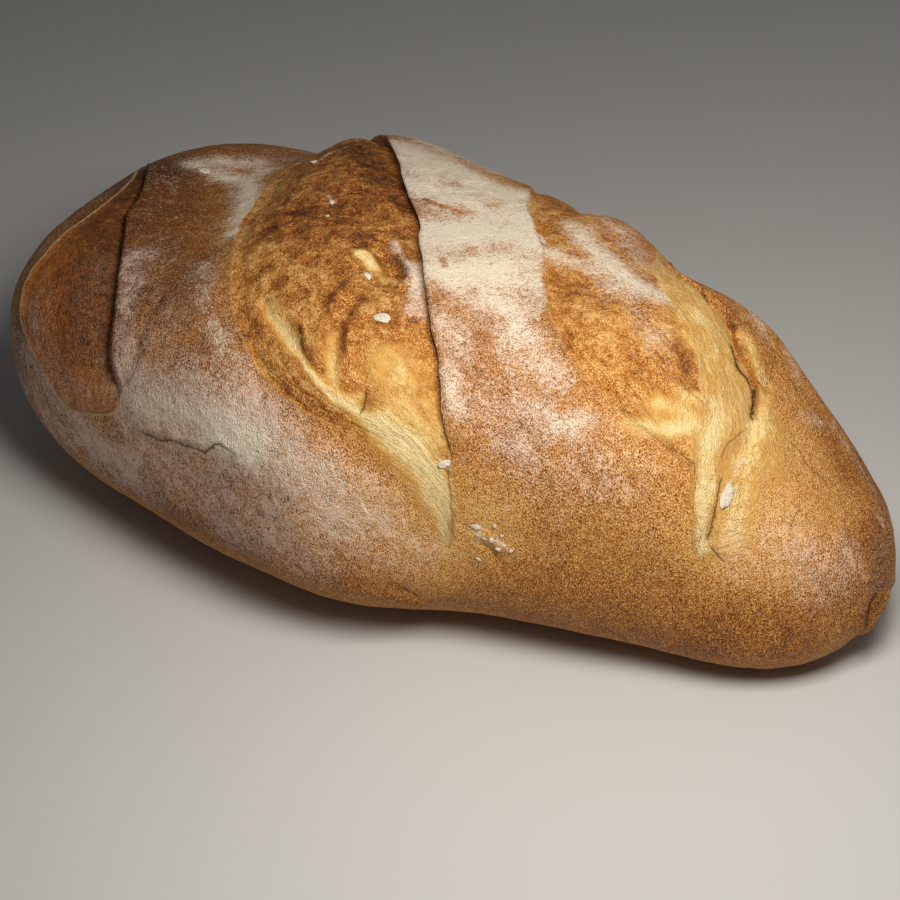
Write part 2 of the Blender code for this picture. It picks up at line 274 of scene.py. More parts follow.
# Strokes on the crust: the (place, angle) points of a line, half width, strength.
# Grains of flour lie thick at 1, FILM is a soft haze of it and BARE rubs it off. Lines that two
# tables share come first. The highlight of the cap in the flour and film tables is painted highlight.
BULGE = ((38, -35), (49, -29), (63, -20))
FLANK = ((-13.5, 33), (-10, 37), (-8, 41))
PAD = ((10, 52), (12.5, 51))
BASE_HOLLOW = ((24.5, 106), (27, 110), (28.5, 113))
SEAM = ((110.5, 35), (111, 42), (111.5, 53), (111.5, 67))
CREASE = ((146, 148), (148, 131), (149, 120), (149.5, 101), (150, 90), (150.5, 84))
FLOUR = {
    "upper middle skin": (((-34, -24), (-8, -14), (16, -12)), 14, 0.72),
    "left of the thick band": (((-18, -10), (-6, -9)), 7.5, 0.5),
    "above the tongue": (((26, 3), (36, 11)), 8, 0.5),
    "top of the middle skin": (((-41, -28), (-25, -26), (-7, -24), (8, -23)), 7.5, 0.68),
    "far side of the middle skin": (((-50, -46), (-28, -44), (-8, -42)), 10, 0.6),
    "thick band": (((2, 0), (13, -2), (23, -7)), 10, 1),
    "middle of the band": (((12, 8), (24, 6), (33, 3)), 10.5, 0.8),
    "along the third rim": (((10, -34), (22, -14), (36, -1), (47, 10)), 4.5, 0.5),
    "tongue": (((38, 14), (48, 21), (56, 27), (62, 33)), 7, 0.55),
    "left streak": (((26, 24), (33, 31)), 4.5, 0.5),
    "between the lip and the streak": (((18, 10), (27, 16)), 5.5, 0.34),
    "right of the second lip": (((34, 42), (39, 52)), 3.4, 0.48),
    "end of the thick band": (((10, -19), (19, -16)), 5, 0.6),
    "soft round spot": (((68, 50), (71, 49)), 4.4, 0.62),
    "dust left of the spot": (((55, 45), (58, 47)), 3.4, 0.26),
    "left of the tongue": (((41, 22), (50, 32), (54, 38)), 6, 0.3),
    "dust low of the lip": (((49, 60), (53, 61)), 3.6, 0.12),
    "middle of the middle skin": (((36, 34), (52, 46), (60, 60)), 15, 0.24),
    "right of the spot": (((76, 45), (80, 51)), 6, 0.25),
    "low patch": (((59, 60), (62, 68)), 3.6, 0.16),
    "dust under the spot": (((68, 82), (69, 82)), 3.2, 0.3),
    "crumbs at the groove": (((48, 88), (49, 89)), 1.2, 0.8),
    "crumbs right of the groove": (((53, 89), (57, 90)), 1, 0.7),
    "top of the left skin": (((-109, -18), (-104, -22), (-95, -24), (-86, -20)), 6, 0.45),
    "cream by the second rim": (((-97, -14), (-86, -14), (-70, -3), (-63, 3)), 5.5, 0.6),
    "grains by the second rim": (((-62, 18), (-54, 28), (-42, 40), (-35, 46), (-27, 50)), 5, 0.32),
    "left skin, middle": (((-28, 74), (-10, 76), (2, 80)), 9, 0.4),
    "left skin, slab": (((-62, 70), (-48, 73), (-34, 72), (-20, 72)), 11.5, 0.6),
    "grains left of the tail": (((-12, 64), (4, 74), (14, 82), (24, 89)), 7, 0.2),
    "knob of the cap": (((88, -39), (93, -37), (100, -28)), 3.4, 0.5),
    "edge of the knob": (((104, -40), (112, -26)), 3, 0.45),
    "dust on the cap": (((113, 26), (113, 31)), 1.4, 0.5),
    "side of the cap": (((119, -7), (122, -17)), 3, 0.3),
    "edge of the cap": (((125, -29), (136, -30), (146, -11)), 2.5, 0.3),
    # Painted highlight: pale grains where light falls brightest on the cap
    "painted highlight of the cap": (((130, 46), (138, 54)), 11, 0.2),
    "lower edge at the right": (((110, 118), (126, 120), (136, 110)), 2.6, 0.4),
    "edge of the base": (((6, 102), (22, 121)), 1.6, 0.3),
    "far side, left": (((-100, -70), (-60, -80), (-20, -72)), 16, 0.4),
    "far side, right": (((30, -78), (70, -84), (110, -76)), 13, 0.35),
}
FACE_FLOUR = {
    "lump at the second lip's foot": (((38, 69), (39, 70)), 1.4, 0.9),
    "under the second lip": (((-7, 2), (-1, 4), (4, 6), (8, 9), (11.5, 14)), 1.9, 0.6),
    "along the second lip": (((-3.5, 0), (7.5, 6), (15.5, 17), (19.5, 24)), 2.2, 0.5),
    "top of the second face": (((-61, -17), (-57.5, -20), (-57, -24)), 1.3, 0.7),
    "grain in the second face": (((-38, -2), (-34, -1)), 1.2, 0.6),
    "right of the pit": (((3, 6), (8.5, 10), (12.5, 16), (14.5, 21)), 2.6, 0.75),
    "grain by the pit": (((-6, 12), (-5, 11)), 0.9, 0.9),
    "streak of the third face": (((36, -18), (46, -12), (54, -8), (65, -3), (75, -4)), 6, 0.85),
    "smear of the third face": (((37, -4), (46, -3), (53, -3)), 4.2, 0.7),
    "top of the third face": (((24.5, -17), (27.5, -18)), 1, 0.8),
    "blob of the third face": (((31, -9), (33, -7)), 1.2, 0.8),
    "dust of the third face": (((62, 0), (74, 4), (80, 8)), 8, 0.46),
    "low dust of the third face": (((80, 8), (84, 16), (88, 20)), 6, 0.08),
    "floury bulge": (((38, -35), (49, -29), (63, -18)), 6, 0.45),
}
FILM = {
    "left tip": (((-140, 20), (-138, 70), (-130, 100)), 15, 0.36),
    "under the first face": (((-118, 74), (-104, 84), (-90, 90), (-74, 92)), 8.5, 0.7),
    "left end, low": (((-121, 90), (-112, 96), (-93, 97), (-72, 94)), 11, 0.5),
    "left strip": (((-91, 18), (-84, 30), (-76, 48), (-71, 62)), 4.8, 0.46),
    "haze of the left skin": (((-84, 14), (-72, 28), (-58, 40)), 11, 0.17),
    "slab of the left skin": (((-66, 68), (-48, 72), (-36, 70), (-22, 68)), 12, 0.95),
    "beside the second rim": (((-24, 56), (-10, 64), (2, 70)), 6.5, 0.42),
    "left of the tail": (((12, 86), (20, 92), (26, 95)), 9, 0.34),
    "left of the middle skin": (((12, 20), (22, 32), (32, 46)), 8, 0.22),
    "corner of the slab": (((-76, 74), (-74, 80), (-68, 82)), 4.5, 0.6),
    "foot of the left skin": (((-16, 62), (-4, 69), (9, 76), (20, 81)), 8.5, 0.3),
    "under the crack": (((-61, 88), (-38, 90), (-10, 86), (8, 86)), 13, 0.6),
    "centre of the left skin": (((-64, 50), (-52, 56), (-42, 60)), 10, 0.14),
    "low left": (((-32, 98), (-14, 98), (4, 98)), 9, 0.5),
    "top of the left skin": (((-109, -18), (-95, -27), (-84, -34)), 8, 0.42),
    "cream by the second rim": (((-95, -15), (-84, -9), (-66, 0)), 5, 0.3),
    "under the second face": (((12, 86), (23, 87), (33, 91)), 9.5, 0.22),
    "middle skin": (((28, 24), (40, 42), (55, 55), (78, 60)), 20, 0.15),
    "top of the middle skin": (((-41, -28), (-20, -20), (10, -18)), 15, 0.3),
    "lower middle skin": (((60, 60), (76, 62), (86, 58)), 12, 0.2),
    "floury bulge": (BULGE, 6.5, 0.4),
    # Painted highlight: a pale film where light falls brightest on the cap
    "painted highlight of the cap": (((129, 46), (138, 54), (142, 42)), 10, 0.34),
    "peach edge of the cap": (((117, 56), (119, 72)), 6, 0.2),
    "tip of the cap": (((146, -12), (150, 20), (150, 60)), 6, 0.15),
}
FACE_FILM = {
    "floury bulge": (BULGE, 6.5, 0.25),
    "first face": (((-127, -5), (-122, 24), (-117, 50)), 7, 0.08),
    "right of the first face": (((-100, 24), (-94, 42), (-88, 58)), 9, 0.13),
    "foot of the first face": (((-118, 60), (-108, 76), (-94, 78), (-82, 70)), 9, 0.26),
}
BARE = {
    "brown arc": (((-8.5, -7), (-1.5, -7), (3.5, -7), (8, -9)), 0.9, 0.75),
    "orange patch": (((-9.5, -15), (-6.5, -18)), 1.8, 0.55),
    "flecks right of the arc": (((8.5, -13), (9.5, -18)), 1.8, 0.4),
    "crack in the flour": (((3, -7), (6, -4)), 0.4, 0.5),
    "pit in the flour": (((13, 5), (16, 7)), 1, 0.6),
    "faint patch": (((18, 1), (25, -1)), 2.2, 0.3),
    "brown by the lip": (((14, 11), (20, 15), (26, 18)), 3, 0.12),
    "brown centre": (((39, 21), (38.5, 29), (41, 37)), 3.4, 0.4),
}
TORN = {
    "tear, top": (((63, -32), (77, -12), (87, -5)), 4.1, 0.45),
    "tear, middle": (((87, -5), (97, 0), (104, 8)), 5.3, 0.6),
    "left edge of the tear": (((73, -10), (80, -3), (88, 3)), 3.6, 0.5),
    "tear, low": (((104, 16), (105, 31), (108, 46)), 4.5, 1),
    "tear, foot": (((107, 49), (109, 61), (110.5, 71)), 2.6, 1),
    "rough crumb before the tear": (((86, 41), (93, 37), (99, 29)), 3.2, 0.9),
    "crumb at the flake": (((89, 29), (98, 24)), 4.2, 0.68),
    "under the dark patch": (((95, 19), (101, 12)), 2.5, 0.7),
    "peach edge of the cap": (((111, 9), (114, 24), (116, 40), (117, 60)), 5.8, 0.8),
    "upper cap": (((117, 4), (121, 17)), 6.3, 0.4),
    "knob crumb": (((98, -14), (103, -8), (109, -3), (113, 8)), 3.4, 0.66),
    "gouge": (((-25.5, 31), (-20.5, 34), (-14.5, 37), (-11, 40)), 3, 0.85),
    "strip under the gouge": (((-9, 41), (-4, 45), (0.5, 48), (6, 52), (11.5, 54)), 1.2, 1),
    "middle trough": (((-1, 34), (1.5, 40), (4.5, 47), (7, 51)), 2.5, 0.66),
    "pad": (PAD, 2, 0.7),
    "focus": (((13, 55), (18, 59)), 2.2, 0.8),
    "second face, low": (((21, 59), (29.5, 67), (35, 75), (37, 81)), 5.8, 1),
    "second face, foot": (((36, 76), (38.5, 84)), 3, 1.2),
    "end of the second face": (((38.5, 84), (39.5, 90)), 1.8, 1.2),
    "second face, right": (((18, 40), (27, 50), (34, 63)), 9, 0.6),
    "flap of the pit": (((-11.5, 8), (-9, 8), (-6.5, 9)), 2.6, 0.95),
    "end of the flap": (((-5.5, 9), (-2, 11), (1, 12)), 1.8, 0.5),
    "ridge left of the trough": (((-6.5, 25), (-5, 35), (-2.5, 43)), 1, 0.5),
}

# Darker baked strokes, and paler ones where the strength is negative. A few of them are painted light
# and shade, not baking, and are marked where they stand.
TOAST_AND_PAINTED_LIGHT = {
    "outer left end": (((-126, 69), (-131, 106), (-118, 116)), 5, 0.3),
    "first face": (((-120, -8), (-108, 12), (-100, 34), (-94, 50)), 18, 0.44),
    "back of the left skin": (((-120, -28), (-100, -38)), 20, 0.2),
    "left skin": (((-116, -14), (-98, -6), (-82, 8), (-68, 28)), 12, 0.2),
    "left skin, middle": (((-60, 20), (-52, 36), (-40, 44)), 10, 0.16),
    "left skin, low": (((-60, 66), (-20, 80)), 16, 0.1),
    "top of the second face": (((-52, -24), (-34, -14), (-18, -7)), 11, 0.4),
    "upper second face": (((-44, 0), (-32, 0), (-14, 4)), 14, 0.25),
    "third face": (((50, 0), (68, 16), (80, 28)), 14, -0.04),
    "middle of the middle skin": (((40, 30), (55, 50), (70, 55)), 20, 0.06),
    "brown flank": (FLANK, 1, 0.5),
    "brown flank of the ridge": (((-8.5, 22), (-4.5, 33), (-2.5, 41)), 1.2, 0.25),
    # Painted shadow along the trough's edge
    "dark edge of the trough": (((-1, 29), (2, 33), (4.5, 38)), 0.9, 0.45),
    "pit under the lip": (((-6, 4), (-1, 6), (3, 9)), 2.2, 0.2),
    "dark patch of the third face": (((88, 6), (92, 9), (96.5, 13), (98.5, 15)), 4.4, 0.15),
    "brown of the third face": (((63.5, 1), (74.5, 4)), 4.5, 0.1),
    "rim of the third face": (((46, 8), (58, 20), (72, 34)), 6, 0.08),
    # Painted shade, partly real browning: darker low on the right, where less light falls
    "low right": (((119, 92), (134, 90)), 7, 0.12),
    "right side of the cap": (((133, -48), (146, -11), (150, 30)), 6.9, 0.2),
    "side of the cap": (((124, -14), (135, -9)), 5, 0.14),
    "skirt": (((8, 104), (28, 118), (69, 119)), 4, 0.12),
    "right tip": (((146, 10), (151, 50), (150, 85)), 7, 0.16),
    # Painted shade, partly real browning: darker along the low edge, where less light falls
    "low edge": (((20, 100), (53, 104), (80, 106), (111, 108)), 16, 0.12),
    "skirt right": (((81, 119), (110, 113), (137, 104)), 6, 0.1),
    "lower left side": (((-83, 98), (-51, 104), (-18, 106)), 8, 0.2),
    "knob pits": (((90, -22), (96, -12), (99, -9)), 1.9, 0.35),
    "fold lobe": (((150, 95), (149, 104)), 3.7, 0.22),
    "fold of the left skin": (((-67.5, 33), (-65.5, 53), (-68, 63), (-73.5, 69)), 1.4, 0.2),
    "paler middle": (((78, 52), (92, 62), (102, 68)), 20, -0.1),
    "paler cap": (((111, 12), (115, 34), (118, 60)), 12, -0.28),
    "golden cap": (((124, 5), (128, 25), (132, 46)), 15, -0.17),
    "paler under the second face": (((10, 84), (23, 87), (34, 94), (50, 86)), 15, -0.36),
    "band of the second rim": (((-68, -8), (-58, 4), (-49, 18)), 5.5, -0.16),
    "beside the second rim": (((-20, 60), (-6, 66), (6, 73), (16, 82)), 8, -0.14),
    # Painted light: the top made paler where light from behind falls on it
    "painted light on the top": (((-38, -28), (-7, -24), (12, -20)), 12, -0.22),
}

# Dents and ridges: the (place, angle) points of a line, half width, height
DENTS = {
    "gouge": (((-29, 30), (-25, 33), (-17.5, 36), (-12, 39), (-8, 42)), 1.8, -1.2),
    "near edge of the gouge": (((-30.5, 32), (-23, 37), (-15, 41), (-7, 46)), 1.2, 0.3),
    "far edge of the gouge": (((-22, 29), (-17.5, 31), (-12, 34), (-6, 40)), 1.2, 0.6),
    "strip under the gouge": (((-9, 42), (-4, 45), (1, 48), (6, 52), (11.5, 54)), 1.4, 0.3),
    "furrow by the strip": (((-7, 41), (-3, 43), (2, 47)), 1.1, -0.4),
    "middle ridge": (((-6.5, 17), (-7, 23), (-6.5, 29), (-5, 36), (-2, 44)), 1.6, 0.8),
    "trough": (((-3, 24), (-1, 31), (1, 38), (4, 46)), 2.2, -1),
    "edge of the trough": (((1, 24), (2, 29), (4, 34), (7, 40)), 1.2, 0.9),
    "upper furrows": (((6, 22), (6, 28), (9, 36), (12, 44)), 1.2, -0.4),
    "torn pit": (((-7, 5), (-2, 7), (1, 9)), 2.6, -2),
    "flap of the pit": (((-13, 8), (-9, 7), (-3.5, 10), (2, 11)), 1.4, 0.9),
    "under the flap": (((-9, 12), (-4, 13), (2, 13)), 1.4, -0.9),
    "lip over the pit": (((-6, 2), (-1, 4), (4, 7), (7, 10), (7, 13)), 1.4, 1.5),
    "bubble": (((7.5, 20), (8.5, 20)), 1.2, -0.9),
    "notch": (((15.5, 25), (16.5, 27)), 1.1, -0.9),
    "first flake": (((-49.5, 1), (-44, 4), (-38, 8)), 1.2, 0.9),
    "behind the first flake": (((-45, 0), (-40, 4), (-35, 8)), 1.2, -0.7),
    "second flake": (((-54, -3), (-47, 0)), 1.2, 0.7),
    "third flake": (((-30, 9), (-29.5, 7), (-28.5, 5)), 1.2, 0.8),
    "fourth flake": (((-31.5, 17), (-28.5, 19), (-25.5, 20)), 1.2, 0.7),
    "pad beside the slit": (PAD, 1.8, 0.8),
    "slit beside the pad": (((14, 48), (15, 52), (14.5, 56)), 1.1, -0.8),
    "second lip's foot": (((38.5, 63), (39.5, 70), (41, 80)), 1.1, -0.2),
    "groove below the middle skin": (((48.5, 90), (50.5, 90), (53.5, 92), (55, 97)), 1.1, -0.6),
    "ridge beside that groove": (((46.5, 90), (50.5, 93), (53, 101)), 1.1, 0.5),
    "lumps at the groove": (((46, 89), (50, 88), (54.5, 90), (57.5, 90)), 1.2, 0.7),
    "fold over the left crack": (((-64.5, 80), (-55, 80), (-46, 80), (-36, 78), (-26.5, 75)), 1.6, 0.6),
    "under the left crack": (((-64.5, 85), (-55, 86), (-46, 85), (-36, 84), (-26.5, 80)), 1.6, -0.5),
    "fold of the left skin": (((-70, 33), (-69, 53), (-71, 63), (-76, 69)), 2, -0.6),
    "lip of the base": (((9.5, 107), (16.5, 110), (22, 114), (28, 120)), 1.2, 0.9),
    "hollow over the base lip": (BASE_HOLLOW, 1.5, -0.8),
    "hole in the third face": (((36, -42), (37.5, -42)), 1.1, -1.8),
    "pit beside the hole": (((43.5, -36), (46.5, -33)), 1.8, -0.8),
    "ledge of the flake": (((79, 35), (81, 36), (84.5, 36), (87, 35)), 1.2, 0.7),
    "low flap of the third face": (((85.5, 31), (90.5, 33), (95, 33)), 1.2, -0.7),
    "blister in the third face": (((83, 35), (83.5, 35)), 1.6, 0.7),
    "hollow of the dark patch": (((91, 7), (96.5, 12)), 3.4, -0.2),
    "edge of the dark patch": (((93.5, 17), (97, 17), (99.5, 15)), 1.2, 0.6),
    "hole under the cap": (((84, -20), (85.5, -19)), 1.2, -1.8),
    "first pit under the cap": (((90, -22), (90.5, -21)), 1.1, -1.4),
    "second pit under the cap": (((92.5, -17), (93, -16)), 1.1, -1.4),
    "third pit under the cap": (((96, -12), (97, -13)), 1.3, -2),
    "fourth pit under the cap": (((98.5, -9), (99, -9)), 1.2, -1.6),
    "crack of the cap": (((99, -5), (101.5, -1), (104, -2), (106.5, -1), (109, 1), (110, 4)), 1.1, -0.8),
    "knob's right edge": (((105, -25), (107.5, -12), (109, -3)), 1.2, -0.6),
    "crease of the fold": (CREASE, 1.1, -1.2),
    "low seam": (SEAM, 1.1, -0.5),
    "left edge of the low tear": (((103, 39), (105, 50), (106.5, 59), (109, 66)), 1.2, 0.4),
}

# Cracks thinner than the grid: the points of a line, half width, strength. Each is drawn as a slit
# painted dark as shade in its gap, with a darker margin round it.
CRACKS = {
    # Painted shadow: the dark crescent over the pit
    "crescent over the pit": (((-5, 4), (-1.5, 5), (3, 7), (6, 11)), 0.4, 0.6),
    "gouge": (FLANK, 0.32, 0.7),
    "bubble": (((7.5, 19), (9, 20), (9.5, 22)), 0.24, 0.5),
    "notch": (((15.5, 24), (15.5, 25), (16.5, 27)), 0.24, 0.7),
    "slit beside the pad": (((13.5, 47), (14.5, 51), (14.5, 54), (13.5, 57)), 0.24, 0.6),
    "second lip's foot": (((38.5, 66), (39.5, 72), (40.8, 80), (41.4, 90)), 0.16, 0.5),
    "groove below the middle skin": (((48.5, 90), (50.5, 90), (53.5, 92)), 0.24, 0.45),
    "crack of the left skin": (
        (
            (-64.5, 82), (-60, 82), (-55.5, 83), (-49.5, 81), (-46.5, 82), (-40, 81), (-36, 81), (-32, 77),
            (-29, 76), (-25, 77), (-23, 78),
        ),
        0.26, 0.75,
    ),
    "fold of the left skin": (((-65.5, 53), (-68, 63), (-73.5, 69), (-75, 74)), 0.24, 0.3),
    "hollow over the base lip": (BASE_HOLLOW, 0.24, 0.6),
    "crack of the skirt": (((81.5, 113), (84.5, 116), (87.5, 120), (88, 134)), 0.24, 0.8),
    "foot of the flake": (((80, 37), (83, 38), (87, 37)), 0.22, 0.3),
    "torn edge of the dark patch": (((92.5, 17), (95.5, 17), (98, 16), (100.5, 17)), 0.22, 0.35),
    "crack over the hole": (((77, -27), (81.5, -22), (85.5, -19)), 0.24, 0.6),
    "crack of the cap": (
        ((96.5, -7), (99, -5), (101.5, -1), (104, -2), (106.5, -1), (108, 0), (109, 1), (110, 4), (110.5, 7)),
        0.45, 1,
    ),
    "knob's right edge": (
        ((97.5, -40), (100.5, -40), (105, -25), (107.5, -12), (109, -3), (110, 0)), 0.22, 0.35,
    ),
    "crease of the fold": (CREASE, 0.24, 0.7),
    "hairline of the cap": (((118.5, 3), (122, 2), (125.5, 4), (129.5, 3), (132, 4)), 0.2, 0.4),
    "short hairline of the cap": (((128.5, 21), (128.5, 30), (128.5, 38)), 0.2, 0.3),
    "crease below the crack": (((111, 9), (110, 15), (108.5, 24), (109, 31)), 0.24, 0.3),
    "low seam": (SEAM, 0.25, 0.65),
    "foot of the low seam": (((111.8, 67), (114, 69), (117, 71)), 0.25, 0.6),
}

# Half width that a crack's distance is given in, and the distance where there is none
CRACK_HALF = 0.25
NO_CRACK = 9.0

# Clumps of flour on the crust: place, angle, length, width, height, and how many degrees the length
# is turned from along the loaf towards the near side
CLUMPS = {
    "second face": (9, 25, 4.6, 3.6, 1.2, 0),
    "by the pit": (-5.5, 12, 2.6, 1.8, 0.8, 20),
    "top of the second face": (-62, -16, 2.2, 2, 0.8, 0),
    "upper second face": (-34.5, -1, 2, 1.5, 0.7, 30),
    "small, upper second face": (-31, 1, 1.2, 1, 0.5, 0),
    "top of the left skin": (-104, -15, 4.4, 3.6, 1, 10),
    "second lip's foot": (38.5, 70, 2.4, 3.6, 0.8, 0),
    "groove, left": (47.8, 87, 1.8, 3, 0.7, 20),
    "groove, first bit": (50, 89, 1.4, 1, 0.6, 0),
    "groove, second bit": (52, 89, 1.6, 1.2, 0.7, 30),
    "groove, middle": (54, 90, 1.9, 1.4, 0.8, 0),
    "groove, third bit": (55, 88, 1, 1.2, 0.6, 0),
    "groove, right": (57.5, 90, 1.6, 1.1, 0.7, 40),
    "groove, above": (53, 86, 1.2, 1.4, 0.5, 0),
    "groove, below": (48, 93, 1, 1.6, 0.5, 0),
    "cap": (113, 42, 3.6, 7.2, 0.7, -26),
}
CLUMP_RINGS = 14
CLUMP_ROWS = 20

# Lumps of the clumps: cell, seed and share of the radius, and how far off the crust is looked for
LUMPS = ((0.6, 61, 0.38), (0.3, 62, 0.16))
CLUMP_APART = 7.3
RAY_START = 0.02

# Colour against bake, from pale to dark: the crust, the cut faces and the torn crumb
CRUST_STOPS = (
    (0.0, (0.82, 0.5, 0.185)),
    (0.3, (0.63, 0.282, 0.06)),
    (0.5, (0.45, 0.157, 0.023)),
    (0.75, (0.23, 0.07, 0.01)),
    (1.0, (0.08, 0.027, 0.007)),
)
FACE_STOPS = (
    (0.0, (0.86, 0.545, 0.205)),
    (0.3, (0.66, 0.28, 0.052)),
    (0.5, (0.455, 0.144, 0.02)),
    (0.75, (0.22, 0.066, 0.011)),
    (1.0, (0.06, 0.022, 0.008)),
)
CRUMB_STOPS = (
    (0.0, (0.54, 0.23, 0.04)),
    (0.4, (0.73, 0.385, 0.088)),
    (0.75, (0.89, 0.6, 0.225)),
    (1.0, (0.99, 0.765, 0.385)),
)
# Pale flecks and painted glints on the cut faces
FLECK_AND_GLINT = (0.86, 0.53, 0.23, 1.0)
# Darker margin round the slit of a crack
CRACK_MARGIN = (0.22, 0.075, 0.018, 1.0)
# Painted shade in the slit of a crack
SLIT_SHADE = (0.035, 0.014, 0.006, 1.0)

# Noise scales of the materials, per metre
SPECK_SCALE, MOTTLE_SCALE, PATCH_SCALE = 2700, 560, 80
FLOUR_SCALES = (2000, 620, 190)

# Camera at the photograph's viewing angle, in degrees and metres
CAMERA_AZIMUTH = 30.23
CAMERA_ELEVATION = 36.0
CAMERA_ROLL = -2.9
CAMERA_DISTANCE = 0.7106
CAMERA_TARGET_HEIGHT = 0.039
CAMERA_ASIDE = (0.0047, -0.0102)

# Lights: place, size, colour, and the spot that they face
KEY_LIGHT = ((0.17, -0.165, 0.34), 0.15, (1.0, 0.96, 0.88))
RIM_LIGHT = ((0.35, 0.45, 0.35), 0.40, (1.0, 0.97, 0.94))
LIGHT_AIM = (0.0, 0.0, 0.05)
SKY_COLOUR = (1.0, 0.98, 0.96, 1.0)
FLOOR_HALF = 4.0


def curve(points, at, period=0.0):
    """Cubic between each two points, with slopes from their neighbours."""
    line = np.array(points, float)
    if period:
        turn = np.array((period, 0.0))
        line = np.vstack((line[-3:] - turn, line, line[:3] + turn))
    x, y = line.T
    slope = np.gradient(y, x)
    i = np.clip(np.searchsorted(x, at) - 1, 0, len(x) - 2)
    span = x[i + 1] - x[i]
    t = np.clip((at - x[i]) / span, 0, 1)
    start = y[i] * (1 + 2 * t) * (1 - t) ** 2 + slope[i] * span * t * (1 - t) ** 2
    end = y[i + 1] * t * t * (3 - 2 * t) + slope[i + 1] * span * t * t * (t - 1)
    return start + end


def ramp(start, end, at):
    """0 before start, 1 past end, and three t squared minus two t cubed between."""
    t = np.clip((at - start) / (end - start), 0, 1)
    return t * t * (3 - 2 * t)


def bell(gap, reach):
    """1 where the gap is 0, falling as e to the minus square of the gap over the reach."""
    return np.exp(-((gap / reach) ** 2))


def lattice(i, j, k, seed):
    """Hash of three whole numbers, from -1 to 1: their products with large primes, mixed by shifts."""
    mixed = (i * 374761393 + j * 668265263 + k * 1440662683 + seed * 974634777) & 0xFFFFFFFF
    mixed = ((mixed ^ (mixed >> 13)) * 1274126177) & 0xFFFFFFFF
    mixed = ((mixed ^ (mixed >> 15)) * 2246822519) & 0xFFFFFFFF
    return (mixed ^ (mixed >> 16)) / 2147483648.0 - 1.0


def noise(points, cell, seed):
    """Value noise from -1 to 1: the hashed corners of each cell, mixed by a smooth ramp."""
    place = points / cell
    corner = np.floor(place).astype(np.int64)
    part = place - corner
    part = part * part * (3 - 2 * part)
    total = 0.0
    for a in (0, 1):
        for b in (0, 1):
            for c in (0, 1):
                weight = np.abs(1 - a - part[..., 0]) * np.abs(1 - b - part[..., 1])
                weight = weight * np.abs(1 - c - part[..., 2])
                i, j, k = corner[..., 0] + a, corner[..., 1] + b, corner[..., 2] + c
                total = total + weight * lattice(i, j, k, seed)
    return total


def layers(points, cell, seed):
    """Mean of noise at the cell, half and a quarter of it, each half as strong as the last."""
    return sum(noise(points, cell / 2**n, seed + n) / 2**n for n in range(3)) / 1.75


def ridges(points, cell, seed):
    """Narrow raised lines where the noise crosses 0: one minus its size, to the fourth power."""
    return (1 - np.abs(noise(points, cell, seed))) ** 4


def body(turn, angle):
    """Smooth body without cuts. turn runs from 0 at the left tip to pi at the right tip.

    Along the loaf the place is minus the cosine of turn, and the width and height fall to the tips as
    the root of one minus a power of it. Each cross-section is a superellipse, flatter below its waist.
    """
    t = -np.cos(turn)
    left = t < 0
    tip = np.where(left, *TIP_HEIGHT)
    cap = np.sqrt(np.clip(1 - np.abs(t) ** np.where(left, *TIP_BLUNTNESS), 0, None))
    low = tip * (1 - np.sqrt(np.clip(1 - np.abs(t) ** np.where(left, *KEEL_BLUNTNESS), 0, None)))
    at = np.clip(t, -LAST_STATION, LAST_STATION)
    near, far, crown = (curve(tuple(zip(STATIONS, sizes)), at) for sizes in (NEAR_HALF, FAR_HALF, CROWN))
    high = tip + (crown - tip) * cap
    c, s = np.cos(angle), np.sin(angle)
    power = 2 / SQUARENESS
    rise = np.abs(c) ** power
    share = np.where(c >= 0, WAIST + (1 - WAIST) * rise, WAIST * (1 - rise))
    y = np.where(s >= 0, -near, far) * cap * np.abs(s) ** power
    return np.stack(np.broadcast_arrays(t * REACH, y, low + (high - low) * share), -1)


def turn_of(x):
    """Turn at which the body reaches the place x along the loaf."""
    return np.arccos(np.clip(-x / REACH, -1, 1))


def row_angles(rows):
    """Angle of each row, evenly spaced round the middle of the loaf, sparser behind and underneath."""
    fine = np.linspace(-pi, pi, GIRTH_STEPS)
    round_middle = body(np.full_like(fine, pi / 2), fine)
    length = np.linalg.norm(np.diff(round_middle, axis=0), axis=1)
    degrees = np.degrees(fine[1:])
    shown = UNDERSIDE_SHARE + (BACK_SHARE - UNDERSIDE_SHARE) * ramp(*UNDERSIDE_TO_BACK, degrees)
    shown = shown + (1 - BACK_SHARE) * ramp(*BACK_TO_CROWN, degrees)
    shown = shown - (1 - UNDERSIDE_SHARE) * ramp(*NEAR_TO_UNDERSIDE, degrees)
    girth = np.r_[0, np.cumsum(length * shown)]
    return np.interp(np.arange(rows) / rows * girth[-1], girth, fine)


def edge_lines(degrees):
    """Place of each edge at each angle, wavering a little, kept in order along the loaf."""
    lines = []
    for k, edge in enumerate(EDGES):
        line = MM * curve(edge, degrees, 360)
        shown = ramp(*WAVER_IN, degrees) * (1 - ramp(*WAVER_OUT, degrees))
        for n, size in enumerate(WAVER_SIZES):
            along = np.stack((degrees, np.full_like(degrees, 5.0 * k), np.zeros_like(degrees)), -1)
            line = line + EDGE_WAVER[k] * shown * noise(along, size, 20 + n) / (1 + n)
        lines.append(line if not lines else np.maximum(line, lines[-1] + LEAST_GAP))
    return lines


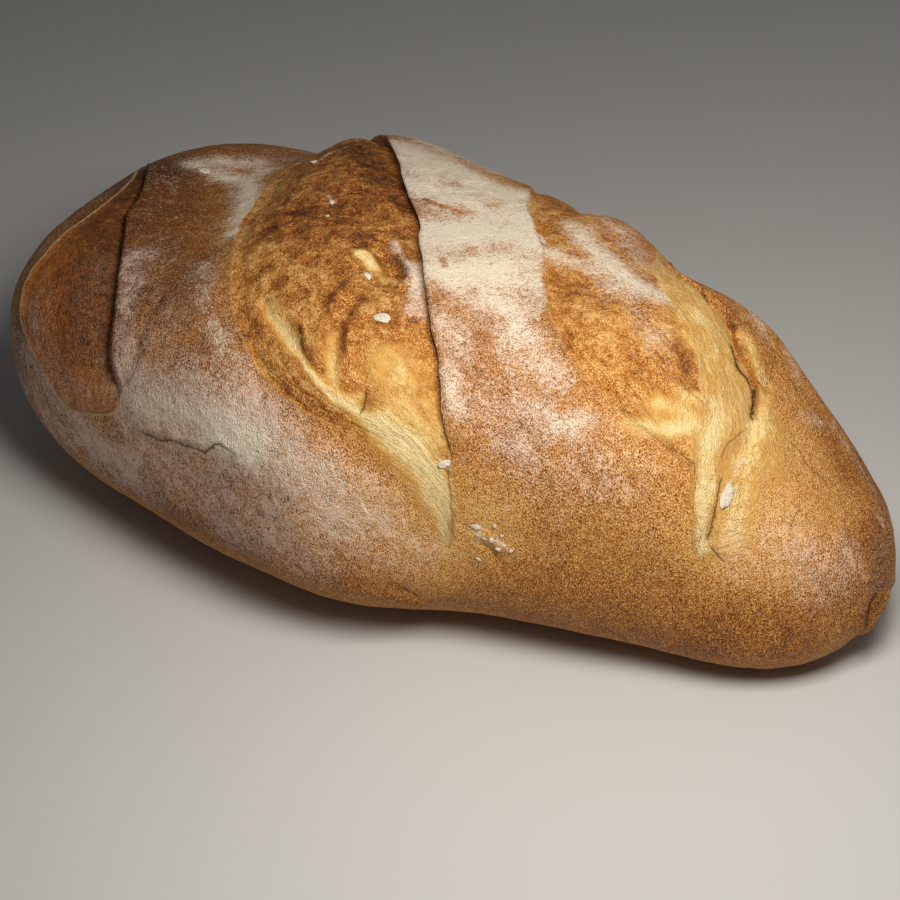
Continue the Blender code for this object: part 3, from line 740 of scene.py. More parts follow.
def lay_columns(lines, angle):
    """Turn of every grid point, with each girth line's stretch number and its share of the stretch."""
    bounds = [np.zeros_like(angle)]
    for k, line in enumerate(lines):
        bounds.append(turn_of(line))
        if k in WALLED_LIPS:
            bounds.append(turn_of(line + WALL))
    bounds.append(np.full_like(angle, pi))
    turns, stretch, share = [], [], []
    for k, count in enumerate(COLUMNS.values()):
        for n in range(count):
            turns.append(bounds[k] + (bounds[k + 1] - bounds[k]) * n / count)
            stretch.append(k)
            share.append(n / count)
    turns.append(bounds[-1])
    stretch.append(len(COLUMNS) - 1)
    share.append(1.0)
    return np.array(turns), np.array(stretch)[:, None], np.array(share)[:, None]


def directions(turn, angle):
    """Unit vectors out of the body and along it, from the slopes of the body."""
    inner = np.clip(turn, SLOPE_HOLD, pi - SLOPE_HOLD)
    along = body(inner + SLOPE_STEP, angle) - body(inner - SLOPE_STEP, angle)
    across = body(inner, angle + SLOPE_STEP) - body(inner, angle - SLOPE_STEP)
    out = np.cross(across, along)
    out /= np.linalg.norm(out, axis=-1, keepdims=True)
    along /= np.linalg.norm(along, axis=-1, keepdims=True)
    return out, along


def within(stretch, name):
    """Where the girth lines belong to the named stretch."""
    return stretch == STRETCHES.index(name)


def beyond(stretch, name):
    """Where the girth lines lie past the named stretch."""
    return stretch > STRETCHES.index(name)


def cut_fade(cut, degrees):
    """1 along a cut, 0 past its two ends."""
    fade = ramp(cut["far"], cut["far"] + FAR_FADE, degrees)
    return fade * (1 - ramp(cut["near"] - NEAR_FADE, cut["near"], degrees))


def cut_relief(cut, x, degrees, stretch, share, lines):
    """Height out of the body and shift along it that one cut makes: a dip inside the rim, a swell, a
    tuck under the lip, a wall that leans out, and an ear that dies away over the skin."""
    ear, over, tuck, swell, groove, ridge = (MM * cut[key] for key in HEIGHTS)
    rim, lip = lines[cut["rim"]], lines[cut["lip"]]
    width = lip - rim
    fade = cut_fade(cut, degrees)
    room = ramp(*NARROW_CUT, width)
    face = within(stretch, cut["face"])
    profile = swell * np.sin(pi * share) ** 1.2 * room
    profile = profile - groove * bell(share * width - GROOVE_IN, GROOVE_HALF) * room
    profile = profile * (1 - ramp(cut["flat"], cut["flat"] + FLAT_FADE, degrees))
    open_lip = 1 - ramp(cut["shut"] - SHUT_FADE, cut["shut"], degrees)
    profile = profile - tuck * open_lip * ramp(0.55, 1.0, share) ** 1.5
    height = np.where(face, profile, 0) + ridge * bell(x - rim, RIDGE_HALF)
    shift = np.zeros_like(height)
    if cut["wall"]:
        wall = within(stretch, cut["wall"])
        skin = beyond(stretch, cut["wall"])
        past = np.clip(x - lip - WALL, 0, None)
        height += np.where(wall, (ear + tuck) * ramp(0, 1, share) - tuck, 0) * open_lip
        height += np.where(skin, ear * np.exp(-past / EAR_REACH), 0) * open_lip
        under = np.where(face, ramp(0.9, 1.0, share), 0)
        turning = np.where(wall, 1 - ramp(0.1, 0.6, share) - ramp(0.3, 0.9, share), 0)
        leaning = np.where(skin, np.exp(-past / LEAN_REACH), 0)
        shift = over * (under + turning - leaning) * open_lip
    return height * fade, shift * fade


def relief(x, degrees, stretch, share, lines):
    """Height and shift of all the cuts, the ledge over the tear, the humps and the slow swell."""
    height = np.zeros(x.shape)
    shift = np.zeros(x.shape)
    for cut in CUTS:
        more, push = cut_relief(cut, x, degrees, stretch, share, lines)
        height += more
        shift += push
    low = LEDGE * ramp(*LEDGE_IN, degrees) * (1 - ramp(*LEDGE_OUT, degrees))
    before = beyond(stretch, "second wall") & (stretch < STRETCHES.index("tear"))
    away = np.clip(lines[TEAR_LINE] - x, 0, None)
    height += np.where(before, low * np.exp(-away / LEDGE_REACH), 0)
    height -= np.where(within(stretch, "tear"), low * (1 - ramp(0.3, 0.9, share)), 0)
    for place, angle, reach, spread, hump in HUMPS.values():
        height += MM * hump * bell(x - MM * place, MM * reach) * bell(degrees - angle, spread)
    turns = np.radians(degrees)
    swell = np.sin(x / SWELL_LENGTH + 2 * np.sin(turns)) * np.sin(3 * turns + x / SWELL_DRIFT)
    return height + SWELL_HEIGHT * swell, shift


def laid(points):
    """Points on the body of a line given as (place, angle) pairs."""
    place, angle = np.array(points, float).T
    return body(turn_of(MM * place), np.radians(angle))


def stroke(points, base, half_width):
    """Bell curve of the distance from a line laid on the body."""
    nodes = laid(points)
    nearest = np.full(base.shape[:-1], np.inf)
    for start, end in zip(nodes[:-1], nodes[1:]):
        way = end - start
        t = np.clip(((base - start) @ way) / max(way @ way, 1e-12), 0, 1)
        gap = base - start - t[..., None] * way
        nearest = np.minimum(nearest, (gap * gap).sum(-1))
    return np.exp(-nearest / (MM * half_width) ** 2)


def cover(strokes, base):
    """How far the strokes cover each point: one minus the product of what each leaves bare."""
    bare = np.ones(base.shape[:-1])
    for points, half_width, strength in strokes.values():
        bare *= 1 - np.clip(strength * stroke(points, base, half_width), 0, 1)
    return 1 - bare


def total(strokes, base):
    """Sum of the strokes, each a bell curve times its strength."""
    return sum(strength * stroke(points, base, width) for points, width, strength in strokes.values())


def crack_lines(cracks, base, out):
    """Signed distance in millimetres to the nearest crack and how open it is, fading at both its ends.

    The sign tells the side: the way along the crack times the way out of the loaf, against the gap.
    """
    spots = base / MM
    nearest = np.full(base.shape[:-1], NO_CRACK)
    opened = np.zeros(base.shape[:-1])
    for points, half_width, strength in cracks.values():
        nodes = laid(points) / MM
        lengths = np.linalg.norm(np.diff(nodes, axis=0), axis=1)
        before = np.r_[0, np.cumsum(lengths)]
        for start, end, length, passed in zip(nodes[:-1], nodes[1:], lengths, before):
            way = (end - start) / max(length, 1e-9)
            t = np.clip((spots - start) @ way, 0, length)
            gap = spots - start - t[..., None] * way
            size = np.linalg.norm(gap, axis=-1) / (half_width / CRACK_HALF)
            side = np.sign((np.cross(way, out) * gap).sum(-1))
            along = passed + t
            level = strength * ramp(-0.5, 2.0, along) * ramp(-0.5, 2.5, before[-1] - along)
            closer = size < np.abs(nearest)
            opened = np.where(closer, level, opened)
            nearest = np.where(closer, side * size, nearest)
    return np.clip(nearest, -NO_CRACK, NO_CRACK), opened * (1 - ramp(1.5, 3, np.abs(nearest)))


def flow_share(x, lines):
    """Share of the way across the nearest cut, carried on past its edges; the tear follows the third face."""
    shares = []
    for cut in CUTS:
        width = lines[cut["lip"]] - lines[cut["rim"]]
        shares.append((x - lines[cut["rim"]]) / width * (0.25 + 0.75 * ramp(*FLOW_WIDTHS, width)))
    first_gap, second_gap = (
        (lines[left["lip"]] + lines[right["rim"]]) / 2 for left, right in zip(CUTS[:2], CUTS[1:3])
    )
    last = np.where(x > lines[TEAR_LINE], 1 + shares[3], shares[2])
    return np.clip(np.where(x < first_gap, shares[0], np.where(x < second_gap, shares[1], last)), -1, 3)


def fibres(x, arc, degrees, focus, seed):
    """Strands that run out from a focus: noise over the bearing from it and, far coarser, the distance."""
    place, angle = focus
    column = np.argmin(np.abs(x[:, x.shape[1] // 2] - MM * place))
    row = np.argmin(np.abs(degrees - angle))
    along, across = x - MM * place, arc - arc[column, row]
    distance = np.hypot(along, across)
    bearing = np.arctan2(across, along)
    strands = 0.0
    for n, width in enumerate(STRAND_WIDTHS):
        spot = np.stack((bearing / width, distance / STRAND_LENGTH, np.zeros_like(x)), -1)
        strands = strands + noise(spot, 1.0, seed + n) / (1 + n)
    return strands / 1.5 * ramp(*FOCUS_CLEAR, distance)


def inside_cuts(x, arc, degrees, lines):
    """Signed distance into the cut faces, along the skin, positive inside."""
    before, after = END_FADE
    per_degree = np.abs(np.gradient(arc, axis=1) / np.gradient(degrees))
    best = np.full(x.shape, -1.0)
    for cut in CUTS[:3]:
        rim, lip = lines[cut["rim"]], lines[cut["lip"]]
        lean_rim, lean_lip = (
            1 / np.sqrt(1 + (np.gradient(line, degrees) / per_degree) ** 2) for line in (rim, lip)
        )
        ends = ramp(cut["near"] - before, cut["near"] + after, degrees)
        ends = ends + ramp(cut["far"] + before, cut["far"] - after, degrees)
        inner = np.minimum((x - rim) * lean_rim, (lip - x) * lean_lip)
        best = np.maximum(best, inner - END_REACH * ends)
    return best


def fine_relief(base, x, arc, degrees, stretch, share, inside, sizes):
    """Height of pimples, crags and strands, and that of the crags and strands alone.

    Pimples are noise at two sizes. Crags are layered noise with narrow ridges, warped by a coarser noise,
    and each cut face has its own shares of crags and of the strands that run out from its focus.
    """
    coarse, fine = PIMPLE_CELLS
    height = sizes.pimple_height * (noise(base, coarse, 3) + 0.6 * noise(base, fine, 4))
    height = height + SLOW_HEIGHT * noise(base, SLOW_CELL, 5)
    face_share = ramp(*FACE_EDGE, inside) * (0.25 + 0.75 * ramp(*SMOOTH_BAND, inside))
    tear_share = 1 - ramp(*TEAR_RIGHT, share) * ramp(*TEAR_LOW, degrees)
    tear_share = tear_share * (1 - ramp(*TEAR_FOOT, degrees))
    warp = base + WARP * noise(base, WARP_CELL, 11)[..., None]
    crags = 1.1 * layers(warp, CRAG_CELL, 12) + 0.45 * (ridges(warp, CRAG_RIDGE_CELL, 14) - 0.3)
    upper = 1 - ramp(*UPPER_FACE, degrees)
    texture = np.zeros(x.shape)
    for name, (focus, seed, craggy, stranded, _) in FACES.items():
        if name == "second face":
            craggy = craggy + 0.65 * upper
            stranded = stranded - 0.6 * upper - 0.5 * ramp(*LOWER_FACE, degrees)
        strands = fibres(x, arc, degrees, focus, seed)
        mixed = craggy * crags * sizes.crag_height + stranded * strands * sizes.strand_height
        texture = np.where(within(stretch, name), mixed, texture)
    texture = texture * np.where(within(stretch, "tear"), tear_share, face_share)
    return height + texture, texture


def skin_masks(base, out, arc, degrees, stretch, lines, inside, texture):
    """Masks over the grid that the crust's material reads.

    Flour, film, torn crumb and toast are the strokes, made uneven by layered noise; flour also has a
    thin rest everywhere, less of it low down. The toast also holds some painted light and shade, and the
    flour and film the painted highlight of the cap. Distances and lengths are in millimetres.
    """
    x = base[..., 0]
    crust_share = 1 - ramp(*CRUST_EDGE, inside)
    face_share = 1 - crust_share
    flour = cover(FLOUR, base) * (1 - cover(BARE, base)) * crust_share
    flour = flour + cover(FACE_FLOUR, base) * face_share
    fine, coarse = PATCH_CELLS
    patches = layers(base, fine, 41) + 0.5 * layers(base, coarse, 42)
    rest = 0.03 + 0.10 * ramp(0.0, -0.05, x) + 0.08 * layers(base, 0.03, 43)
    rest = rest + 0.06 * ramp(30, 0, degrees) * ramp(-80, -50, degrees) - 0.32 * ramp(84, 102, degrees)
    rest = np.where(inside > 0, -0.05, rest)
    under = ramp(0.006, 0.0, base[..., 2])
    film = cover(FILM, base) * crust_share + cover(FACE_FILM, base) * face_share
    tear = within(stretch, "tear") * cut_fade(CUTS[3], degrees)
    torn = np.maximum(cover(TORN, base), 0.6 * tear)
    crack, opened = crack_lines(CRACKS, base, out)
    fibrous = sum(within(stretch, name) * face[-1] for name, face in FACES.items())
    upper = within(stretch, "second face") * (1 - ramp(*UPPER_FACE, degrees))
    rested = flour + rest + 0.34 * patches * np.minimum(flour + 0.3, 0.6) + 0.05 * under
    return {
        "flour": np.clip(rested, -0.2, 1.2),
        "film": np.clip(film * (1 + 0.25 * patches), 0, 1),
        "torn": np.clip(torn * (1 + 0.3 * layers(base, 0.006, 45)), 0, 1),
        "toast_and_painted_light": total(TOAST_AND_PAINTED_LIGHT, base) + 0.06 * layers(base, 0.03, 47),
        "inside": np.clip(inside / MM, -20, 20),
        "texture": texture / MM,
        "crack": crack,
        "opened": opened,
        "flow": flow_share(x, lines),
        "girth": arc / MM,
        "fibrous": fibrous - 0.7 * upper,
        # How strong the painted highlight along the rims is
        "rimmed": 0.15 + 0.75 * (1 - beyond(stretch, "first wall")),
        "rough": 1 - 0.6 * within(stretch, "first face") + 0.15 * upper,
        "fleck_glint_share": 0.32 + 0.08 * upper - 0.2 * (1 - beyond(stretch, "second face")),
    }


def loaf_grid(sizes):
    """Points of the skin, girth line by girth line, and the masks that its material reads.

    Each point is the body's, moved out of it by the relief and along it by the shift of the cuts.
    """
    angle = row_angles(sizes.rows)
    degrees = np.degrees(angle)
    lines = edge_lines(degrees)
    turn, stretch, share = lay_columns(lines, angle)
    base = body(turn, angle)
    x = base[..., 0]
    out, along = directions(turn, angle)
    height, shift = relief(x, degrees, stretch, share, lines)
    height = height + MM * total(DENTS, base)
    steps = np.linalg.norm(np.diff(base, axis=1, prepend=base[:, -1:]), axis=-1)
    arc = np.cumsum(steps, axis=1)
    arc = arc - arc[:, np.argmin(np.abs(degrees))][:, None]
    inside = inside_cuts(x, arc, degrees, lines)
    fine, texture = fine_relief(base, x, arc, degrees, stretch, share, inside, sizes)
    hold = ramp(0, TIP_HOLD, turn) * ramp(0, TIP_HOLD, pi - turn)
    height = (height + fine * ramp(0.0, BASE_HOLD, base[..., 2])) * hold
    points = base + out * height[..., None] + along * (shift * hold)[..., None]
    points -= ORIGIN
    points[..., 2] = np.maximum(points[..., 2], 0)
    return points, skin_masks(base, out, arc, degrees, stretch, lines, inside, texture)


def closed_grid(points):
    """Vertices, four-sided faces between the rings and a fan of triangles at each tip of a grid of rings."""
    rings, rows = points.shape[0] - 2, points.shape[1]
    places = np.vstack((points[1:-1].reshape(-1, 3), points[0, :1], points[-1, :1]))
    left, right = rings * rows, rings * rows + 1
    row = np.arange(rows)
    after = (row + 1) % rows
    ring = np.arange(rings - 1)[:, None] * rows
    quads = np.stack((ring + row, ring + after, ring + rows + after, ring + rows + row), -1).reshape(-1, 4)
    last = (rings - 1) * rows
    left_fan = np.stack((np.full(rows, left), after, row), -1)
    right_fan = np.stack((np.full(rows, right), last + row, last + after), -1)
    return places, quads, np.vstack((left_fan, right_fan))


def closed_mesh(name, grids):
    """One smooth mesh of closed grids, each given as its vertices, four-sided faces and triangles."""
    starts = np.cumsum([0] + [len(places) for places, _, _ in grids])
    places = np.vstack([grid[0] for grid in grids])
    quads = np.vstack([grid[1] + start for grid, start in zip(grids, starts)])
    triangles = np.vstack([grid[2] + start for grid, start in zip(grids, starts)])
    mesh = bpy.data.meshes.new(name)
    mesh.from_pydata(places.tolist(), [], quads.tolist() + triangles.tolist())
    mesh.shade_smooth()
    mesh.update()
    return mesh


def skin_mesh(name, points, masks):
    """Closed skin of the loaf's grid, with each mask as an attribute of its vertices."""
    mesh = closed_mesh(name, [closed_grid(points)])
    for key, values in masks.items():
        values = np.broadcast_to(values, points.shape[:2])
        flat = np.concatenate((values[1:-1].ravel(), values[0, :1], values[-1, :1]))
        mesh.attributes.new(key, "FLOAT", "POINT").data.foreach_set("value", flat.astype(np.float32))
    return mesh


def clump_points(middle, normal, sizes, turned, seed):
    """Lumpy ellipsoid at a spot on the crust, three quarters of it above: its radius wavers by the noise."""
    along = np.cross((0.0, 1.0, 0.0), normal)
    along /= np.linalg.norm(along)
    near = np.cross(along, normal)
    t = radians(turned)
    length = along * cos(t) + near * sin(t)
    width = near * cos(t) - along * sin(t)
    rise = np.linspace(0, pi, CLUMP_RINGS)[:, None]
    spin = np.linspace(0, 2 * pi, CLUMP_ROWS, endpoint=False)[None, :]
    ball = (np.cos(rise), np.sin(rise) * np.cos(spin), np.sin(rise) * np.sin(spin))
    ball = np.stack(np.broadcast_arrays(*ball), -1)
    spot = ball + CLUMP_APART * seed
    lumps = sum(share * noise(spot, cell, seed_of) for cell, seed_of, share in LUMPS)
    ball = ball * (1 + lumps)[..., None] * (sizes / 2)
    rest = middle + normal * sizes[2] / 4
    return rest + ball[..., :1] * length + ball[..., 1:2] * width + ball[..., 2:] * normal


def clumps_mesh(name, skin):
    """All the clumps in one mesh, each a closed body laid on the built crust along its outward ray."""
    grids = []
    for seed, (place, degrees, *sizes, turned) in enumerate(CLUMPS.values()):
        turn, angle = turn_of(np.array([MM * place])), np.radians(np.array([float(degrees)]))
        out, _ = directions(turn, angle)
        spot = body(turn, angle)[0] - ORIGIN
        found, middle, normal, _ = skin.ray_cast(Vector(spot + RAY_START * out[0]), Vector(-out[0]))
        if not found:
            raise ValueError(f"no crust under clump {seed}")
        ball = clump_points(np.array(middle), np.array(normal), MM * np.array(sizes), turned, seed)
        grids.append(closed_grid(ball))
    return closed_mesh(name, grids)


def put(name, mesh, material):
    """Object of the mesh in the scene, at the origin."""
    piece = bpy.data.objects.new(name, mesh)
    mesh.materials.append(material)
    bpy.context.scene.collection.objects.link(piece)
    return piece


class Nodes:
    """Shorthand for a node tree: a call adds a node, feeds its inputs and gives its first output."""

    def __init__(self, tree):
        self.tree = tree

    def feed(self, socket, value):
        """Links an output to the socket, or sets the socket to a constant."""
        if isinstance(value, bpy.types.NodeSocket):
            self.tree.links.new(value, socket)
        else:
            socket.default_value = value

    def add(self, kind, feeds=None, out=0, **settings):
        node = self.tree.nodes.new(kind)
        for key, value in settings.items():
            setattr(node, key, value)
        for key, value in (feeds or {}).items():
            self.feed(node.inputs[key], value)
        return node.outputs[out]

    def attribute(self, name):
        return self.add("ShaderNodeAttribute", out="Fac", attribute_name=name)

    def place(self):
        return self.add("ShaderNodeTexCoord", out="Object")

    def math(self, operation, a, b=0.5, clamp=False):
        return self.add("ShaderNodeMath", {0: a, 1: b}, operation=operation, use_clamp=clamp)

    def plus(self, a, b, clamp=False):
        return self.math("ADD", a, b, clamp)

    def minus(self, a, b):
        return self.math("SUBTRACT", a, b)

    def times(self, a, b):
        return self.math("MULTIPLY", a, b)

    def size(self, a):
        return self.math("ABSOLUTE", a)

    def weighted(self, *terms):
        """Sum of values, each times its weight."""
        first, *others = (self.times(value, weight) for value, weight in terms)
        for other in others:
            first = self.plus(first, other)
        return first

    def vector(self, operation, a, b):
        """Vector plus or times a vector, or for SCALE times a number."""
        second = "Scale" if operation == "SCALE" else 1
        return self.add("ShaderNodeVectorMath", {0: a, second: b}, operation=operation)

    def noise(self, vector, scale, detail=2.0, rough=0.5, warp=0.0):
        feeds = {"Vector": vector, "Scale": scale, "Detail": detail, "Roughness": rough, "Distortion": warp}
        return self.add("ShaderNodeTexNoise", feeds)

    def centred(self, noise, half):
        """Noise stretched from half either side of its middle to -1 and 1."""
        return self.line(noise, 0.5 - half, 0.5 + half, -1.0, 1.0)

    def step(self, value, low, high, start=0.0, end=1.0, kind="SMOOTHSTEP"):
        feeds = {"Value": value, "From Min": low, "From Max": high, "To Min": start, "To Max": end}
        return self.add("ShaderNodeMapRange", feeds, interpolation_type=kind)

    def line(self, value, low, high, start=0.0, end=1.0):
        return self.step(value, low, high, start, end, "LINEAR")

    def mix(self, factor, a, b):
        return self.add("ShaderNodeMix", {0: factor, 6: a, 7: b}, out=2, data_type="RGBA")

    def colours(self, value, stops):
        output = self.add("ShaderNodeValToRGB", {"Fac": value})
        ramp_stops = output.node.color_ramp.elements
        for place, _ in stops[1:-1]:
            ramp_stops.new(place)
        for stop, (place, colour) in zip(ramp_stops, stops):
            stop.position = place
            stop.color = (*colour, 1.0)
        return output

    def group(self, tree, **feeds):
        return self.add("ShaderNodeGroup", node_tree=tree, feeds=feeds).node.outputs

    def give(self, outputs, **values):
        """Joins values to sockets by name."""
        for key, value in values.items():
            self.feed(outputs[key], value)


def new_group(name, inputs, outputs):
    """Empty node group with named inputs (name: type and default) and named value outputs."""
    tree = bpy.data.node_groups.new(name, "ShaderNodeTree")
    for key, (kind, default) in inputs.items():
        socket = tree.interface.new_socket(key, in_out="INPUT", socket_type=kind)
        if default is not None:
            socket.default_value = default
    for key in outputs:
        tree.interface.new_socket(key, in_out="OUTPUT", socket_type="NodeSocketFloat")
    given = tree.nodes.new("NodeGroupInput").outputs
    return tree, Nodes(tree), given, tree.nodes.new("NodeGroupOutput").inputs


def grain_group():
    """Baked grain: fine specks, worm-sized mottle and slow patches, each about -1 to 1, and a height."""
    inputs = {"Vector": ("NodeSocketVector", None), "Scale": ("NodeSocketFloat", 1.0)}
    tree, nodes, given, made = new_group("Baked Grain", inputs, ("Speck", "Mottle", "Patch", "Height"))
    scaled = nodes.vector("SCALE", given["Vector"], given["Scale"])
    speck = nodes.centred(nodes.noise(scaled, SPECK_SCALE, 1.0, 0.6), 0.28)
    mottle = nodes.centred(nodes.noise(scaled, MOTTLE_SCALE, 2.0, 0.6), 0.28)
    patch = nodes.centred(nodes.noise(scaled, PATCH_SCALE, 3.0, 0.55), 0.3)
    height = nodes.weighted((speck, 0.6), (mottle, 0.4))
    nodes.give(made, Speck=speck, Mottle=mottle, Patch=patch, Height=height)
    return tree


def flour_group():
    """Flour dusting: the amount plus grains of three sizes, taken up a soft step, and its height."""
    inputs = {"Vector": ("NodeSocketVector", None), "Amount": ("NodeSocketFloat", 0.5)}
    tree, nodes, given, made = new_group("Flour Dusting", inputs, ("Mask", "Height"))
    moved = nodes.vector("ADD", given["Vector"], (0.37, 0.11, 0.23))
    fine, middle, coarse = (
        nodes.centred(nodes.noise(moved, scale, detail, 0.6), 0.3)
        for scale, detail in zip(FLOUR_SCALES, (1.0, 2.0, 3.0))
    )
    grains = nodes.weighted((fine, 0.42), (middle, 0.26), (coarse, 0.2))
    mask = nodes.step(nodes.plus(grains, given["Amount"]), 0.22, 0.9)
    height = nodes.times(mask, nodes.line(grains, -0.6, 0.6, 0.4, 1.0))
    nodes.give(made, Mask=mask, Height=height)
    return tree


def new_material(name, specular):
    """Empty material, its nodes and the inputs of its shader."""
    material = bpy.data.materials.new(name)
    material.use_nodes = True
    shader = material.node_tree.nodes["Principled BSDF"].inputs
    shader["Specular IOR Level"].default_value = specular
    return material, Nodes(material.node_tree), shader


def crumb_texture(nodes, place, fibrous):
    """Strands along the cuts where the crumb is fibrous, and crags where it isn't, from -1 to 1."""
    across = nodes.times(nodes.attribute("flow"), 13.0)
    along = nodes.times(nodes.attribute("girth"), 0.17)
    lie = nodes.add("ShaderNodeCombineXYZ", {0: across, 1: along, 2: 0.0})
    lie = nodes.vector("ADD", lie, nodes.times(nodes.noise(place, 130), 1.2))
    strand = nodes.centred(nodes.noise(lie, 1.0, 5.0, 0.72), 0.25)
    crag = nodes.centred(nodes.noise(place, 330.0, 4.0, 0.7, 0.4), 0.22)
    share = nodes.math("MULTIPLY", fibrous, 1.0, clamp=True)
    return nodes.add("ShaderNodeMix", {0: share, 2: crag, 3: strand})


def flecks_and_glints(nodes, place, speck, mottle, patch, flakes):
    """Pale flecks of thin baked skin and painted glints on the cut faces: peaks of the grain, and thin
    crests of a noise.
    """
    fleck_glint = nodes.weighted((flakes, -0.6), (mottle, -0.45), (speck, -0.35))
    fleck_glint = nodes.step(fleck_glint, 0.42, 0.85)
    sway = nodes.times(nodes.noise(place, 700), 0.0012)
    crest = nodes.size(nodes.minus(nodes.noise(nodes.vector("ADD", place, sway), 310, 1.0), 0.5))
    crest = nodes.minus(1.0, nodes.step(crest, 0.0, 0.045))
    crest = nodes.times(crest, nodes.step(nodes.plus(mottle, patch), -0.1, 0.7))
    return nodes.times(nodes.math("MAXIMUM", fleck_glint, crest), nodes.attribute("fleck_glint_share"))


def film_haze(nodes, speck, mottle, patch, flakes):
    """How thick the soft film of flour lies, broken up by the grain. The film also lays the painted highlight
    of the cap.
    """
    film = nodes.attribute("film")
    haze = nodes.weighted((speck, -0.75), (mottle, -0.26), (flakes, 0.16), (patch, 0.22))
    haze = nodes.plus(nodes.times(haze, nodes.step(film, -0.05, 0.3)), film)
    return nodes.step(haze, 0.0, 1.15)


def crack_masks(nodes, mottle, patch):
    """Slit of the cracks, painted dark as shade in the gap, and the darker margin round it: the distance
    to the line, made ragged by the grain.
    """
    gap = nodes.size(nodes.weighted((nodes.attribute("crack"), 1.0), (mottle, 0.35), (patch, 0.25)))
    opened = nodes.attribute("opened")
    edges = ((0.08, 0.3), (0.2, 1.1))
    return [nodes.times(nodes.minus(1.0, nodes.step(gap, *edge)), opened) for edge in edges]


def crust_material(colours, grain, flour):
    """Baked crust, cut faces, torn crumb, cracks and flour, each placed by the skin's own masks."""
    material, nodes, shader = new_material("crust", 0.26)
    place = nodes.place()
    drawn = nodes.vector("MULTIPLY", place, (1.0, 1.0, 0.6))
    specks = nodes.group(grain, Vector=drawn, Scale=1.0)
    speck, mottle, patch = specks["Speck"], specks["Mottle"], specks["Patch"]
    masks = (nodes.attribute(name) for name in ("toast_and_painted_light", "inside", "texture", "torn", "fibrous"))
    toast_and_painted_light, inside, texture, torn, fibrous = masks
    crumb_relief = crumb_texture(nodes, place, fibrous)
    flakes = nodes.centred(nodes.noise(place, 240.0, 2.0, 0.55, 0.8), 0.2)
    on_face = nodes.step(inside, -0.15, 0.2)
    tear_edge = nodes.weighted((torn, 1.0), (mottle, 0.12), (crumb_relief, 0.16), (flakes, 0.12))
    tear_mask = nodes.step(tear_edge, 0.12, 0.72)

    # Skin, then the faces of the cuts over it, then the torn crumb
    # The bake holds the toast strokes, and with them their painted light and shade
    bake = nodes.plus(nodes.plus(toast_and_painted_light, colours.bake), nodes.weighted((mottle, 0.14), (patch, 0.10)))
    skin = nodes.colours(nodes.plus(bake, nodes.times(speck, 0.60)), CRUST_STOPS)
    # Painted shade in the hollows of the crags and strands and painted highlight on their crests, from their
    # heights, with the grain
    uneven = nodes.weighted((texture, -0.34), (crumb_relief, -0.30), (flakes, 0.16), (speck, 0.50))
    uneven = nodes.times(uneven, nodes.attribute("rough"))
    face = nodes.colours(nodes.plus(nodes.minus(bake, 0.05), uneven), FACE_STOPS)
    # Pale flecks and painted glints over the faces
    face = nodes.mix(flecks_and_glints(nodes, place, speck, mottle, patch, flakes), face, FLECK_AND_GLINT)
    colour = nodes.mix(on_face, skin, face)
    # Painted shade in the hollows of the torn crumb and painted highlight on its crests, from the heights of
    # its relief, with the grain
    crumb_tone = nodes.weighted((mottle, 0.14), (speck, 0.34), (crumb_relief, 0.30), (texture, 0.18))
    crumb_tone = nodes.plus(crumb_tone, nodes.line(torn, 0.3, 1.0, 0.15, 1.04))
    colour = nodes.mix(tear_mask, colour, nodes.colours(crumb_tone, CRUMB_STOPS))

    # Film, with the painted highlight of the cap, then painted highlight along the rims of the cuts, and
    # flour
    haze = film_haze(nodes, speck, mottle, patch, flakes)
    chalk = nodes.line(nodes.plus(speck, nodes.times(mottle, 0.5)), -1.0, 1.0, 0.63, 1.27)
    veil = nodes.vector("SCALE", tuple(colours.film), chalk)
    colour = nodes.mix(nodes.times(haze, 0.85), colour, veil)
    # Painted highlight along the rims of the cuts
    rim = nodes.size(nodes.plus(inside, nodes.times(mottle, 0.12)))
    rim = nodes.minus(1.0, nodes.step(rim, 0.25, 0.85))
    colour = nodes.mix(nodes.times(rim, nodes.attribute("rimmed")), colour, (*colours.rim, 1.0))
    dusting = nodes.attribute("flour")
    dust = nodes.group(flour, Vector=place, Amount=dusting)
    powder = nodes.mix(nodes.step(dusting, 0.35, 0.95), (*colours.thin_flour, 1.0), (*colours.flour, 1.0))
    colour = nodes.mix(nodes.times(dust["Mask"], 0.93), colour, powder)
    slit, margin = crack_masks(nodes, mottle, patch)
    # Darker margin round the cracks, and painted shade in their slits
    colour = nodes.mix(nodes.times(margin, 0.45), colour, CRACK_MARGIN)
    colour = nodes.mix(nodes.times(slit, 0.85), colour, SLIT_SHADE)

    crumb_here = nodes.math("MAXIMUM", on_face, tear_mask)
    rough = nodes.minus(nodes.line(bake, 0.2, 0.9, 0.6, 0.45), nodes.times(crumb_here, 0.12))
    rough = nodes.plus(rough, nodes.times(dust["Mask"], 0.35), clamp=True)
    height = nodes.weighted(
        (specks["Height"], 0.30),
        (dust["Height"], 0.24),
        (nodes.times(haze, flakes), 0.22),
        (nodes.times(crumb_relief, crumb_here), 0.44),
        (slit, -0.6),
        (margin, -0.25),
    )
    bump = nodes.add("ShaderNodeBump", {"Strength": 1.0, "Distance": 0.001, "Height": height})
    nodes.give(shader, **{"Base Color": colour, "Roughness": rough, "Normal": bump})
    return material


